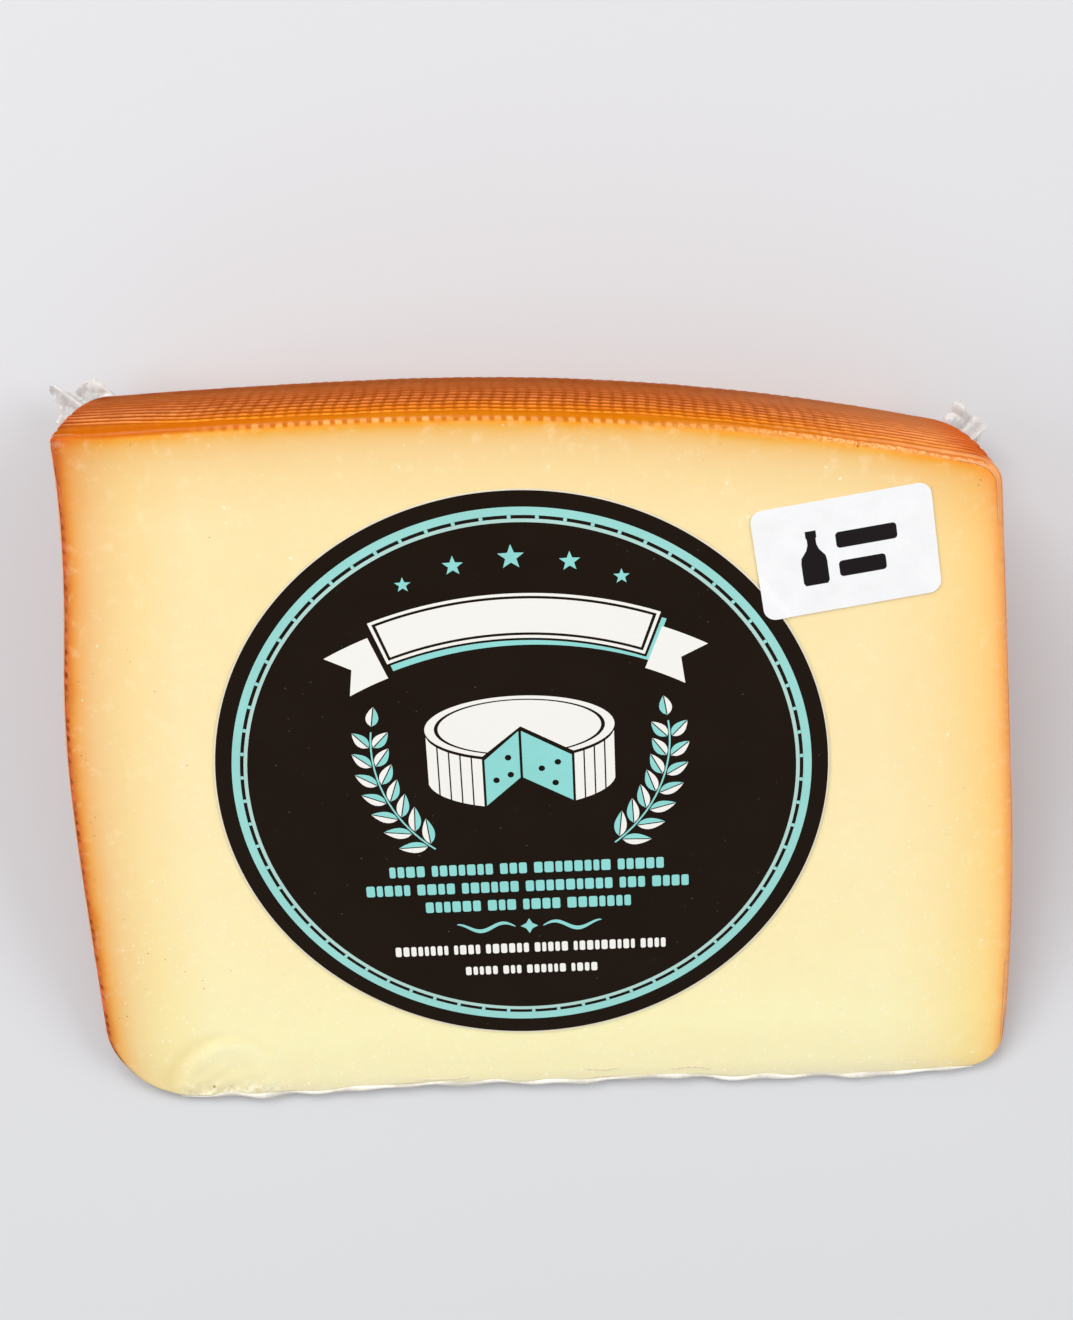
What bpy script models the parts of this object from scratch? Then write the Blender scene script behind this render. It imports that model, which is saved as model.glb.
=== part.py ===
"""Wedge of aged sheep cheese, sealed in clear film, with a round label and a small sticker.

The wedge is cut from a wheel and lies on one of its two cut faces.  The wheel's axis is the
X axis through the sharp end of the wedge.  A point is first given as its place along that
axis, its radius from the axis and its angle above the lower cut face.
Metres, +Z up.  +X runs along the sharp end and +Y from there to the rim.
"""
import math

import bmesh
import bpy
import numpy as np
from mathutils import Vector

MM = 0.001

# Wheel and wedge
WEDGE_ANGLE = math.radians(25.0)
RIM_RADIUS = 129.5 * MM
RIM_TOP_X = -20.0 * MM
RIM_FALL_LEFT = 0.0004 / MM
RIM_FALL_RIGHT = 0.00125 / MM

# Flat sides of the wheel, which the wedge shows as its left and right walls
LEFT_MIDDLE_X = -72.9 * MM
LEFT_SWING = 3.2 * MM
LEFT_SWING_RADIUS = 93.0 * MM
LEFT_SWING_LENGTH = 22.0 * MM
RIGHT_WIDEST_X = 83.7 * MM
RIGHT_SLOPE = 0.0885
RIGHT_BEND_RADIUS = 40.0 * MM
RIGHT_BEND_LENGTH = 9.0 * MM

# Sharp end: its radius at a few places along the wheel's axis, and the film's fine waves
NOSE_STATIONS = (
    (-76.0 * MM, 2.7 * MM),
    (-40.0 * MM, 2.6 * MM),
    (-19.0 * MM, 3.4 * MM),
    (3.0 * MM, 2.9 * MM),
    (24.0 * MM, 3.1 * MM),
    (40.0 * MM, 2.2 * MM),
    (58.0 * MM, 2.0 * MM),
    (84.0 * MM, 2.7 * MM),
)
NOSE_WAVE_HEIGHT = 0.22 * MM
NOSE_WAVE_LENGTH = 9.5 * MM

# Corners of the wedge seen square to its cut face, and the rounding of its edges
CORNER_NOSE_LEFT = 14.0 * MM
CORNER_NOSE_RIGHT = 6.5 * MM
CORNER_RIM_RIGHT = 5.0 * MM
CORNER_RIM_LEFT = 1.5 * MM
CORNER_BULGE = 0.5523
EDGE_ROUND = 1.8 * MM
EDGE_ROUND_SHARE = 0.45
EDGE_ROUND_TIGHT = 1.0 * MM
TIGHT_REACH = 9.0 * MM

# Mesh steps along the sides and over the faces
NOSE_STEP = 2.5 * MM
WALL_STEP = 6.0 * MM
RIM_STEP = 5.0 * MM
CORNER_STEPS = (7, 5, 4, 10)
EDGE_STEPS = 3
WALL_STEPS = 5
TOP_RINGS = (0.975, 0.945, 0.90, 0.83, 0.6)
BASE_RINGS = (0.6,)

# Pressed and crumbled spot at the left end of the sharp edge
CRAG_X = -54.0 * MM
CRAG_RADIUS = 7.0 * MM
CRAG_REACH_X = 10.5 * MM
CRAG_REACH_RADIUS = 11.5 * MM
CRAG_DEPTH = 0.8 * MM
CRAG_LIP = 0.35 * MM
CRAG_LUMPS = 0.3 * MM
CRAG_THICKNESS_SHARE = 0.3

# Puckered corners of the bag, low behind the two ends of the rim.  The root lies inside the
# wedge, and the edge is the free outline, both in mm as seen from above, from the wall
# round to the rim
EAR_HEIGHT = 8.0 * MM
EAR_THICKNESS = 1.2 * MM
EAR_TIP_THICKNESS = 0.6 * MM
EAR_PUCKER = 1.2 * MM
EAR_FOLDS = 3.5
EAR_STEPS_AROUND = 4
EAR_STEPS_OUT = 6
LEFT_EAR_ROOT = ((-68.0, 118.5), (-64.8, 124.0))
LEFT_EAR_EDGE = (
    (-79.3, 124.0), (-78.6, 126.4), (-80.8, 130.2), (-79.4, 131.0),
    (-76.5, 129.6), (-74.0, 131.3), (-72.3, 131.5), (-68.2, 129.0),
)
RIGHT_EAR_ROOT = ((74.5, 107.8), (69.8, 111.8))
RIGHT_EAR_EDGE = (
    (80.6, 112.4), (82.6, 114.8), (83.5, 116.8), (81.9, 119.0),
    (80.2, 119.2), (78.8, 121.5), (77.4, 121.1), (73.8, 117.6),
)

# Labels, placed on the upper cut face
GAP = 0.3 * MM
LABEL_CENTRE_X = 0.0 * MM
LABEL_CENTRE_RADIUS = 65.8 * MM
LABEL_RADIUS = 50.8 * MM
LABEL_THICKNESS = 0.25 * MM
LABEL_SIDES = 96
STICKER_WIDTH = 28.4 * MM
STICKER_HEIGHT = 18.8 * MM
STICKER_CORNER = 2.0 * MM
STICKER_THICKNESS = 0.25 * MM
STICKER_OFFSET = (52.75 * MM, 38.0 * MM)
STICKER_TURN = math.radians(8.3)
STICKER_BEND = 3.2 * MM
STICKER_EDGE_MARGIN = 0.5 * MM
STICKER_COLUMNS = 16
STICKER_ROWS = 12
STICKER_CORNER_ROWS = 4

# Colours, roughness
PASTE = ((0.93, 0.76, 0.40), 0.35)
LABEL_INK = ((0.012, 0.009, 0.007), 0.32)
STICKER_PAPER = ((0.95, 0.95, 0.95), 0.5)


def clear_scene():
    for item in list(bpy.data.objects):
        bpy.data.objects.remove(item, do_unlink=True)


def make_material(name, look):
    colour, roughness = look
    material = bpy.data.materials.new(name)
    material.use_nodes = True
    shader = material.node_tree.nodes["Principled BSDF"]
    shader.inputs["Base Color"].default_value = (*colour, 1.0)
    shader.inputs["Roughness"].default_value = roughness
    shader.inputs["Metallic"].default_value = 0.0
    return material


def smooth(share):
    share = np.clip(share, 0.0, 1.0)
    return share * share * (3.0 - 2.0 * share)


def between_stations(stations, x):
    """Value at x, eased from each station to the next."""
    places = [station[0] for station in stations]
    values = [station[1] for station in stations]
    index = np.clip(np.searchsorted(places, x) - 1, 0, len(places) - 2)
    share = (x - places[index]) / (places[index + 1] - places[index])
    return values[index] + (values[index + 1] - values[index]) * float(smooth(share))


# Outline of the cut face, as place along the wheel's axis and radius from it

def left_wall(radius):
    return LEFT_MIDDLE_X + LEFT_SWING * math.tanh((radius - LEFT_SWING_RADIUS) / LEFT_SWING_LENGTH)


def right_wall(radius):
    past_bend = math.log(1.0 + math.exp((radius - RIGHT_BEND_RADIUS) / RIGHT_BEND_LENGTH))
    return RIGHT_WIDEST_X - RIGHT_SLOPE * RIGHT_BEND_LENGTH * past_bend


def rim(x):
    fall = RIM_FALL_RIGHT if x > RIM_TOP_X else RIM_FALL_LEFT
    return RIM_RADIUS - fall * (x - RIM_TOP_X) ** 2


def nose(x):
    wave = math.sin(2.0 * math.pi * x / NOSE_WAVE_LENGTH) + 0.6 * math.sin(5.1 * x / NOSE_WAVE_LENGTH)
    return between_stations(NOSE_STATIONS, x) + 0.5 * NOSE_WAVE_HEIGHT * wave


def along(function, start, end, step):
    """Points (value, function(value)) from start to end, about one step apart."""
    count = max(2, round(abs(end - start) / step) + 1)
    return [(value, function(value)) for value in np.linspace(start, end, count)]


def round_corner(before, start, end, after, steps):
    """Points strictly between start and end, leaving and arriving along the two sides."""
    before, start, end, after = (np.array(p) for p in (before, start, end, after))
    leaving = (start - before) / np.linalg.norm(start - before)
    arriving = (after - end) / np.linalg.norm(after - end)
    handle = CORNER_BULGE * np.linalg.norm(end - start) / math.sqrt(2.0)
    first = start + leaving * handle
    second = end - arriving * handle
    points = []
    for t in np.linspace(0.0, 1.0, steps + 1)[1:-1]:
        mix = ((1 - t) ** 3, 3 * t * (1 - t) ** 2, 3 * t * t * (1 - t), t ** 3)
        points.append(tuple(mix[0] * start + mix[1] * first + mix[2] * second + mix[3] * end))
    return points


def cut_face_outline():
    """Closed loop of (x, radius), anticlockwise: nose, right wall, rim, left wall."""
    nose_right = RIGHT_WIDEST_X - CORNER_NOSE_RIGHT
    nose_left = LEFT_MIDDLE_X - LEFT_SWING + CORNER_NOSE_LEFT
    rim_right = right_wall(rim(RIGHT_WIDEST_X)) - CORNER_RIM_RIGHT
    rim_left = left_wall(RIM_RADIUS) + CORNER_RIM_LEFT
    base = nose(0.0)
    right_low = base + CORNER_NOSE_RIGHT
    right_high = rim(rim_right) - CORNER_RIM_RIGHT
    left_high = rim(rim_left) - CORNER_RIM_LEFT
    left_low = base + CORNER_NOSE_LEFT
    sides = [
        along(nose, nose_left, nose_right, NOSE_STEP),
        [(x, r) for r, x in along(right_wall, right_low, right_high, WALL_STEP)],
        along(rim, rim_right, rim_left, RIM_STEP),
        [(x, r) for r, x in along(left_wall, left_high, left_low, WALL_STEP)],
    ]
    loop = []
    for index, side in enumerate(sides):
        following = sides[(index + 1) % len(sides)]
        loop += side
        loop += round_corner(side[-2], side[-1], following[0], following[1], CORNER_STEPS[index])
    return np.array(loop)


def outward(loop):
    """Unit normals of a closed anticlockwise loop, pointing out of it."""
    tangent = np.roll(loop, -1, axis=0) - np.roll(loop, 1, axis=0)
    normal = np.stack([tangent[:, 1], -tangent[:, 0]], axis=1)
    return normal / np.linalg.norm(normal, axis=1, keepdims=True)


# The wedge

def crag_relief(x, radius):
    """Height of the pressed spot's dent, lip and lumps over the flat cut face."""
    reach = np.hypot((x - CRAG_X) / CRAG_REACH_X, (radius - CRAG_RADIUS) / CRAG_REACH_RADIUS)
    dent = -CRAG_DEPTH * smooth(1.35 - 1.35 * reach)
    lip = CRAG_LIP * np.exp(-((reach - 1.05) / 0.18) ** 2)
    lumps = CRAG_LUMPS * np.sin(1.3 * x / MM) * np.sin(1.7 * radius / MM) * smooth(1.5 - reach)
    limit = CRAG_THICKNESS_SHARE * radius * WEDGE_ANGLE
    return np.clip(dent + lip + lumps, -limit, limit)


def place(x, radius, angle, lift=0.0):
    """World point of wheel coordinates, lifted square to the radius."""
    y = radius * math.cos(angle) - lift * math.sin(angle)
    z = radius * math.sin(angle) + lift * math.cos(angle)
    return Vector((x, y, z))


def edge_rounding(loop):
    """Rounding of the edge at each outline point: less at the thin nose and the tight corner."""
    corner = np.array([left_wall(RIM_RADIUS), rim(left_wall(RIM_RADIUS))])
    nearness = smooth(1.0 - np.linalg.norm(loop - corner, axis=1) / TIGHT_REACH)
    rounding = EDGE_ROUND + (EDGE_ROUND_TIGHT - EDGE_ROUND) * nearness
    return np.minimum(rounding, EDGE_ROUND_SHARE * WEDGE_ANGLE * loop[:, 1])


def wedge_rings(loop):
    """Rings of points from the upper face's middle, over the edge and wall, to the base."""
    normal = outward(loop)
    rounding = edge_rounding(loop)
    flat = loop - normal * rounding[:, None]
    centre = flat.mean(axis=0)
    rings = []
    for share in reversed(TOP_RINGS):
        spots = centre + (flat - centre) * share
        rings.append([place(x, r, WEDGE_ANGLE, crag_relief(x, r)) for x, r in spots])
    quarter = np.linspace(math.pi / 2.0, 0.0, EDGE_STEPS + 1)
    for turn in quarter:
        spots = loop - normal * (rounding * (1.0 - math.cos(turn)))[:, None]
        drop = rounding * (1.0 - math.sin(turn))
        rings.append([place(x, r, WEDGE_ANGLE - d / r, crag_relief(x, r) * math.sin(turn))
                      for (x, r), d in zip(spots, drop)])
    for share in np.linspace(1.0, 0.0, WALL_STEPS + 1)[1:-1]:
        low = rounding / loop[:, 1]
        angles = low + (WEDGE_ANGLE - 2.0 * low) * share
        rings.append([place(x, r, a) for (x, r), a in zip(loop, angles)])
    for turn in reversed(quarter):
        spots = loop - normal * (rounding * (1.0 - math.cos(turn)))[:, None]
        rise = rounding * (1.0 - math.sin(turn))
        rings.append([place(x, r, d / r) for (x, r), d in zip(spots, rise)])
    for share in BASE_RINGS:
        spots = centre + (flat - centre) * share
        rings.append([place(x, r, 0.0) for x, r in spots])
    top = place(centre[0], centre[1], WEDGE_ANGLE)
    base = place(centre[0], centre[1], 0.0)
    return top, rings, base


def object_from_mesh(name, mesh_builder, material):
    mesh = bpy.data.meshes.new(name)
    bmesh.ops.recalc_face_normals(mesh_builder, faces=mesh_builder.faces)
    mesh_builder.to_mesh(mesh)
    mesh_builder.free()
    mesh.materials.append(material)
    mesh.shade_smooth()
    mesh.set_sharp_from_angle(angle=math.radians(35.0))
    made = bpy.data.objects.new(name, mesh)
    bpy.context.scene.collection.objects.link(made)
    return made


def build_wedge(material):
    top, rings, base = wedge_rings(cut_face_outline())
    builder = bmesh.new()
    levels = [[builder.verts.new(point) for point in ring] for ring in rings]
    count = len(levels[0])
    for upper, lower in zip(levels, levels[1:]):
        for i in range(count):
            j = (i + 1) % count
            builder.faces.new((upper[i], upper[j], lower[j], lower[i]))
    for point, ring in ((top, levels[0]), (base, levels[-1])):
        middle = builder.verts.new(point)
        for i in range(count):
            builder.faces.new((middle, ring[i], ring[(i + 1) % count]))
    bmesh.ops.triangulate(builder, faces=builder.faces[:])
    return object_from_mesh("cheese_in_film", builder, material)


# Closed solid from a grid of points with a thickness

def thick_sheet(rows, offsets):
    """Mesh builder of a sheet: rows of middle points, each with its half-thickness vector."""
    builder = bmesh.new()
    upper = [[builder.verts.new(p + o) for p, o in zip(row, off)] for row, off in zip(rows, offsets)]
    lower = [[builder.verts.new(p - o) for p, o in zip(row, off)] for row, off in zip(rows, offsets)]
    last_row = len(rows) - 1
    last_column = len(rows[0]) - 1
    for i in range(last_row):
        for j in range(last_column):
            for side in (upper, lower):
                builder.faces.new((side[i][j], side[i][j + 1], side[i + 1][j + 1], side[i + 1][j]))
    border = [(0, j) for j in range(last_column)]
    border += [(i, last_column) for i in range(last_row)]
    border += [(last_row, j) for j in range(last_column, 0, -1)]
    border += [(i, 0) for i in range(last_row, 0, -1)]
    for (i, j), (k, l) in zip(border, border[1:] + border[:1]):
        builder.faces.new((upper[i][j], upper[k][l], lower[k][l], lower[i][j]))
    bmesh.ops.triangulate(builder, faces=builder.faces[:])
    return builder


# Bag corners

def curve_through(points, steps):
    """Smooth open curve through the points, with some steps between each two."""
    padded = [points[0]] + list(points) + [points[-1]]
    spots = []
    for before, start, end, after in zip(padded, padded[1:], padded[2:], padded[3:]):
        before, start, end, after = (np.array(p) for p in (before, start, end, after))
        for t in np.linspace(0.0, 1.0, steps, endpoint=False):
            bend = 2.0 * before - 5.0 * start + 4.0 * end - after
            twist = 3.0 * (start - end) + after - before
            spots.append(start + 0.5 * t * (end - before + t * (bend + t * twist)))
    return spots + [np.array(points[-1])]


def build_ear(name, root, edge, material):
    """Puckered flap of film from its root inside the wedge out to its lobed edge."""
    rows = []
    offsets = []
    outline = curve_through(edge, EAR_STEPS_AROUND)
    shares = np.linspace(0.0, 1.0, EAR_STEPS_OUT + 1)
    halves = 0.5 * (EAR_THICKNESS + (EAR_TIP_THICKNESS - EAR_THICKNESS) * shares)
    for place_along, rim_spot in zip(np.linspace(0.0, 1.0, len(outline)), outline):
        start = np.array(root[0]) + (np.array(root[1]) - np.array(root[0])) * place_along
        pucker = EAR_PUCKER * math.sin(2.0 * math.pi * EAR_FOLDS * place_along)
        flat = [(start + (rim_spot - start) * share) * MM for share in shares]
        rows.append([Vector((x, y, EAR_HEIGHT + pucker * s)) for (x, y), s in zip(flat, shares)])
        offsets.append([Vector((0.0, 0.0, half)) for half in halves])
    return object_from_mesh(name, thick_sheet(rows, offsets), material)


def fuse(body, pieces):
    """Join the pieces to the body with one union, then remove them."""
    group = bpy.data.collections.new("joined pieces")
    bpy.context.scene.collection.children.link(group)
    for piece in pieces:
        bpy.context.scene.collection.objects.unlink(piece)
        group.objects.link(piece)
    union = body.modifiers.new("Union", "BOOLEAN")
    union.operation = "UNION"
    union.operand_type = "COLLECTION"
    union.collection = group
    union.solver = "EXACT"
    bpy.context.view_layer.update()
    fused = bpy.data.meshes.new_from_object(body.evaluated_get(bpy.context.evaluated_depsgraph_get()))
    body.modifiers.clear()
    body.data = fused
    for piece in pieces:
        bpy.data.objects.remove(piece, do_unlink=True)
    bpy.data.collections.remove(group)


# Labels

def build_round_label(material):
    builder = bmesh.new()
    bmesh.ops.create_cone(builder, cap_ends=True, segments=LABEL_SIDES, radius1=LABEL_RADIUS,
                          radius2=LABEL_RADIUS, depth=LABEL_THICKNESS)
    label = object_from_mesh("round_label", builder, material)
    label.rotation_euler = (WEDGE_ANGLE, 0.0, 0.0)
    label.location = place(LABEL_CENTRE_X, LABEL_CENTRE_RADIUS, WEDGE_ANGLE, GAP + LABEL_THICKNESS / 2.0)
    return label


def sticker_row_heights():
    """Places of the grid's rows up the sticker, closer together round its corners."""
    middle = STICKER_HEIGHT / 2.0 - STICKER_CORNER
    turns = np.linspace(math.pi / 2.0, 0.0, STICKER_CORNER_ROWS + 1)
    low = [-middle - STICKER_CORNER * math.sin(turn) for turn in turns]
    inner = list(np.linspace(-middle, middle, STICKER_ROWS + 1)[1:-1])
    return low + inner + [-height for height in reversed(low)]


def sticker_half_width(height):
    past = abs(height) - (STICKER_HEIGHT / 2.0 - STICKER_CORNER)
    if past <= 0.0:
        return STICKER_WIDTH / 2.0
    return STICKER_WIDTH / 2.0 - STICKER_CORNER + math.sqrt(max(0.0, STICKER_CORNER ** 2 - past ** 2))


def build_sticker(material):
    """Thin rounded rectangle that lies on the face and bends up over the round label."""
    rows = []
    offsets = []
    half = place(0.0, 0.0, WEDGE_ANGLE, STICKER_THICKNESS / 2.0)
    for height in sticker_row_heights():
        row = []
        reach = sticker_half_width(height)
        for across in np.linspace(-reach, reach, STICKER_COLUMNS + 1):
            x = STICKER_OFFSET[0] + across * math.cos(STICKER_TURN) - height * math.sin(STICKER_TURN)
            up = STICKER_OFFSET[1] + across * math.sin(STICKER_TURN) + height * math.cos(STICKER_TURN)
            over = LABEL_RADIUS + STICKER_EDGE_MARGIN + STICKER_BEND - math.hypot(x, up)
            raised = (GAP + LABEL_THICKNESS) * float(smooth(over / STICKER_BEND))
            lift = GAP + STICKER_THICKNESS / 2.0 + raised
            row.append(place(LABEL_CENTRE_X + x, LABEL_CENTRE_RADIUS + up, WEDGE_ANGLE, lift))
        rows.append(row)
        offsets.append([half] * len(row))
    return object_from_mesh("small_sticker", thick_sheet(rows, offsets), material)


def centre_on_base(pieces):
    """Shift everything so the origin is the middle of the underside of the whole."""
    bpy.context.view_layer.update()
    corners = np.array([piece.matrix_world @ Vector(corner) for piece in pieces for corner in piece.bound_box])
    middle = (corners.min(axis=0) + corners.max(axis=0)) / 2.0
    for piece in pieces:
        piece.location -= Vector((middle[0], middle[1], 0.0))


def main():
    clear_scene()
    paste = make_material("cheese paste", PASTE)
    wedge = build_wedge(paste)
    ears = [
        build_ear("left bag corner", LEFT_EAR_ROOT, LEFT_EAR_EDGE, paste),
        build_ear("right bag corner", RIGHT_EAR_ROOT, RIGHT_EAR_EDGE, paste),
    ]
    fuse(wedge, ears)
    label = build_round_label(make_material("label ink", LABEL_INK))
    sticker = build_sticker(make_material("sticker paper", STICKER_PAPER))
    centre_on_base([wedge, label, sticker])


main()
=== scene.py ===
import math

import bmesh
import bpy
import numpy as np
from mathutils import Matrix, Vector


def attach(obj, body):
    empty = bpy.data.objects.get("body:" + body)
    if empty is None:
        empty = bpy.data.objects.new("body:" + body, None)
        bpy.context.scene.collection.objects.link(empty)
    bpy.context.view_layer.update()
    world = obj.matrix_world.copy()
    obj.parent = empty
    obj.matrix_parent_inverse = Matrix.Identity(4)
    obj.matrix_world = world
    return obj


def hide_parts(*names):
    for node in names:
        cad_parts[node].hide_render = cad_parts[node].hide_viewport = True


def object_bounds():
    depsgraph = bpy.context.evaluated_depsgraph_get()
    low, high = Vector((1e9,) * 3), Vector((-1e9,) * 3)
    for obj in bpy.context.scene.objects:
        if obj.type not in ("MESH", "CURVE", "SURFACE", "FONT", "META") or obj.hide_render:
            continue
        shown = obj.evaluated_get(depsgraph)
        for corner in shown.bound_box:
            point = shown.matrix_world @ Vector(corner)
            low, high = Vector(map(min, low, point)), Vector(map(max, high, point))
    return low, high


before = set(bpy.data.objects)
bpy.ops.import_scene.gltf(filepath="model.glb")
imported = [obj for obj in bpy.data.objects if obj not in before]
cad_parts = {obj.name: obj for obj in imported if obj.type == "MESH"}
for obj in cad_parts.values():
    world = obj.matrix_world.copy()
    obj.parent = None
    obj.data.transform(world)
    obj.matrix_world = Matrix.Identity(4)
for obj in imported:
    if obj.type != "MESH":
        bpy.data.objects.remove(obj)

MM = 0.001
CAD_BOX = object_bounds()

# Wheel frame: the wheel's axis runs along X through (AXIS_X, AXIS_Y, 0), level with the table.
# A place on the cheese is (x along the axis, radius from it, angle above the lower cut face).
RIGHT_REACH = 83.67 * MM
NOSE_REACH = 1.79 * MM
AXIS_X = CAD_BOX[1].x - RIGHT_REACH
AXIS_Y = CAD_BOX[0].y - NOSE_REACH

WEDGE_ANGLE = math.radians(25.0)
RIM_RADIUS = 129.5 * MM
RIM_TOP_X = -20.0 * MM
RIM_FALL_LEFT = 0.0004 / MM
RIM_FALL_RIGHT = 0.00125 / MM
LEFT_MIDDLE_X = -72.9 * MM
LEFT_SWING = 3.2 * MM
LEFT_SWING_RADIUS = 93.0 * MM
LEFT_SWING_LENGTH = 22.0 * MM
RIGHT_WIDEST_X = 83.7 * MM
RIGHT_SLOPE = 0.0885
RIGHT_BEND_RADIUS = 40.0 * MM
RIGHT_BEND_LENGTH = 9.0 * MM
NOSE_STATIONS = (
    (-76.0 * MM, 2.7 * MM),
    (-40.0 * MM, 2.6 * MM),
    (-19.0 * MM, 3.4 * MM),
    (3.0 * MM, 2.9 * MM),
    (24.0 * MM, 3.1 * MM),
    (40.0 * MM, 2.2 * MM),
    (58.0 * MM, 2.0 * MM),
    (84.0 * MM, 2.7 * MM),
)
NOSE_WAVE_HEIGHT = 0.22 * MM
NOSE_WAVE_LENGTH = 9.5 * MM
CORNER_NOSE_LEFT = 14.0 * MM
CORNER_NOSE_RIGHT = 6.5 * MM
CORNER_RIM_RIGHT = 5.0 * MM
CORNER_RIM_LEFT = 1.5 * MM
CORNER_BULGE = 0.5523
EDGE_ROUND = 1.8 * MM
EDGE_ROUND_SHARE = 0.45
EDGE_ROUND_TIGHT = 1.0 * MM
TIGHT_REACH = 9.0 * MM

# Cloth print in the rind: pads between the threads, a row of teeth where the cut face ends,
# and how deep the threads lie.  Distances from the cut face are measured over the edge.
PAD_PITCH_X = 1.87 * MM
ROW_PITCH = 2.08 * MM
ROW_PITCH_LOSS = 0.14
FIRST_ROW = 2.65 * MM
ROW_DUTY, ROW_SOFT = 0.72, 0.48
PAD_DUTY, PAD_SOFT = 0.86, 0.36
LEFT_END_DROP = 2.7 * MM
RIGHT_END_RISE = 1.3 * MM
TEETH_START = 0.75 * MM
TEETH_END = 1.65 * MM
SPOT_PITCH = 1.95 * MM
SPOT_START = 0.8 * MM
SPOT_END = 1.9 * MM
THREAD_DEPTH = 0.25 * MM
CHEESE_INSET = 0.08 * MM
FILM_INSET = 0.02 * MM
FILM_SAG = 0.03 * MM
FILM_GLOSS = 0.009
FILM_LIMB_GLOSS = 0.12
CHEESE_NOSE_GAP = 0.6 * MM

# Pressed spot at the left end of the sharp edge
CRAG_X = -54.4 * MM
CRAG_RADIUS = 6.0 * MM
CRAG_REACH_X = 10.3 * MM
CRAG_REACH_RADIUS = 9.6 * MM

# Label and sticker
LABEL_CENTRE_RADIUS = 65.8 * MM
STICKER_OFFSET = (52.85 * MM, 38.05 * MM)
STICKER_TURN = math.radians(8.3)


# Colour and small sums

def tone(code):
    """Linear colour of a six-digit sRGB code."""
    parts = [int(code[i:i + 2], 16) / 255.0 for i in (0, 2, 4)]
    return tuple(p / 12.92 if p <= 0.04045 else ((p + 0.055) / 1.055) ** 2.4 for p in parts)


def smooth(share):
    share = np.clip(share, 0.0, 1.0)
    return share * share * (3.0 - 2.0 * share)


def at_angle(centre, radius, turn):
    """Point at a radius and an angle from a centre."""
    return centre[0] + radius * math.cos(turn), centre[1] + radius * math.sin(turn)


def turned(spot, turn):
    """Point turned about the origin."""
    return (spot[0] * math.cos(turn) - spot[1] * math.sin(turn),
            spot[0] * math.sin(turn) + spot[1] * math.cos(turn))


# Outline of the cut face, as arrays of (x, radius)

def left_wall(radius):
    return LEFT_MIDDLE_X + LEFT_SWING * np.tanh((radius - LEFT_SWING_RADIUS) / LEFT_SWING_LENGTH)


def right_wall(radius):
    past_bend = np.log(1.0 + np.exp((radius - RIGHT_BEND_RADIUS) / RIGHT_BEND_LENGTH))
    return RIGHT_WIDEST_X - RIGHT_SLOPE * RIGHT_BEND_LENGTH * past_bend


def rim(x):
    fall = np.where(x > RIM_TOP_X, RIM_FALL_RIGHT, RIM_FALL_LEFT)
    return RIM_RADIUS - fall * (x - RIM_TOP_X) ** 2


def nose(x):
    places = np.array([station[0] for station in NOSE_STATIONS])
    values = np.array([station[1] for station in NOSE_STATIONS])
    index = np.clip(np.searchsorted(places, x) - 1, 0, len(places) - 2)
    share = smooth((x - places[index]) / (places[index + 1] - places[index]))
    wave = np.sin(2.0 * math.pi * x / NOSE_WAVE_LENGTH) + 0.6 * np.sin(5.1 * x / NOSE_WAVE_LENGTH)
    return values[index] + (values[index + 1] - values[index]) * share + 0.5 * NOSE_WAVE_HEIGHT * wave


def round_corner(before, start, end, after, steps):
    leaving = (start - before) / np.linalg.norm(start - before)
    arriving = (after - end) / np.linalg.norm(after - end)
    handle = CORNER_BULGE * np.linalg.norm(end - start) / math.sqrt(2.0)
    first = start + leaving * handle
    second = end - arriving * handle
    t = np.linspace(0.0, 1.0, steps + 1)[1:-1, None]
    return ((1 - t) ** 3 * start + 3 * t * (1 - t) ** 2 * first
            + 3 * t * t * (1 - t) * second + t ** 3 * end)


def cut_face_outline(nose_step, wall_step, rim_step, corner_steps, nose_gap=0.0):
    """Closed anticlockwise loop: nose, right wall, rim, left wall."""
    def spaced(start, end, step):
        return np.linspace(start, end, max(2, round(abs(end - start) / step) + 1))

    base = float(nose(0.0)) + nose_gap
    xs = spaced(LEFT_MIDDLE_X - LEFT_SWING + CORNER_NOSE_LEFT, RIGHT_WIDEST_X - CORNER_NOSE_RIGHT, nose_step)
    rim_right = float(right_wall(rim(RIGHT_WIDEST_X))) - CORNER_RIM_RIGHT
    rim_left = float(left_wall(RIM_RADIUS)) + CORNER_RIM_LEFT
    right_radii = spaced(base + CORNER_NOSE_RIGHT, float(rim(rim_right)) - CORNER_RIM_RIGHT, wall_step)
    rim_xs = spaced(rim_right, rim_left, rim_step)
    left_radii = spaced(float(rim(rim_left)) - CORNER_RIM_LEFT, base + CORNER_NOSE_LEFT, wall_step)
    sides = [
        np.stack([xs, nose(xs) + nose_gap], axis=1),
        np.stack([right_wall(right_radii), right_radii], axis=1),
        np.stack([rim_xs, rim(rim_xs)], axis=1),
        np.stack([left_wall(left_radii), left_radii], axis=1),
    ]
    loop = []
    for index, side in enumerate(sides):
        following = sides[(index + 1) % 4]
        loop.append(side)
        loop.append(round_corner(side[-2], side[-1], following[0], following[1], corner_steps[index]))
    return np.concatenate(loop)


def outward(loop):
    tangent = np.roll(loop, -1, axis=0) - np.roll(loop, 1, axis=0)
    normal = np.stack([tangent[:, 1], -tangent[:, 0]], axis=1)
    return normal / np.linalg.norm(normal, axis=1, keepdims=True)


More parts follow.
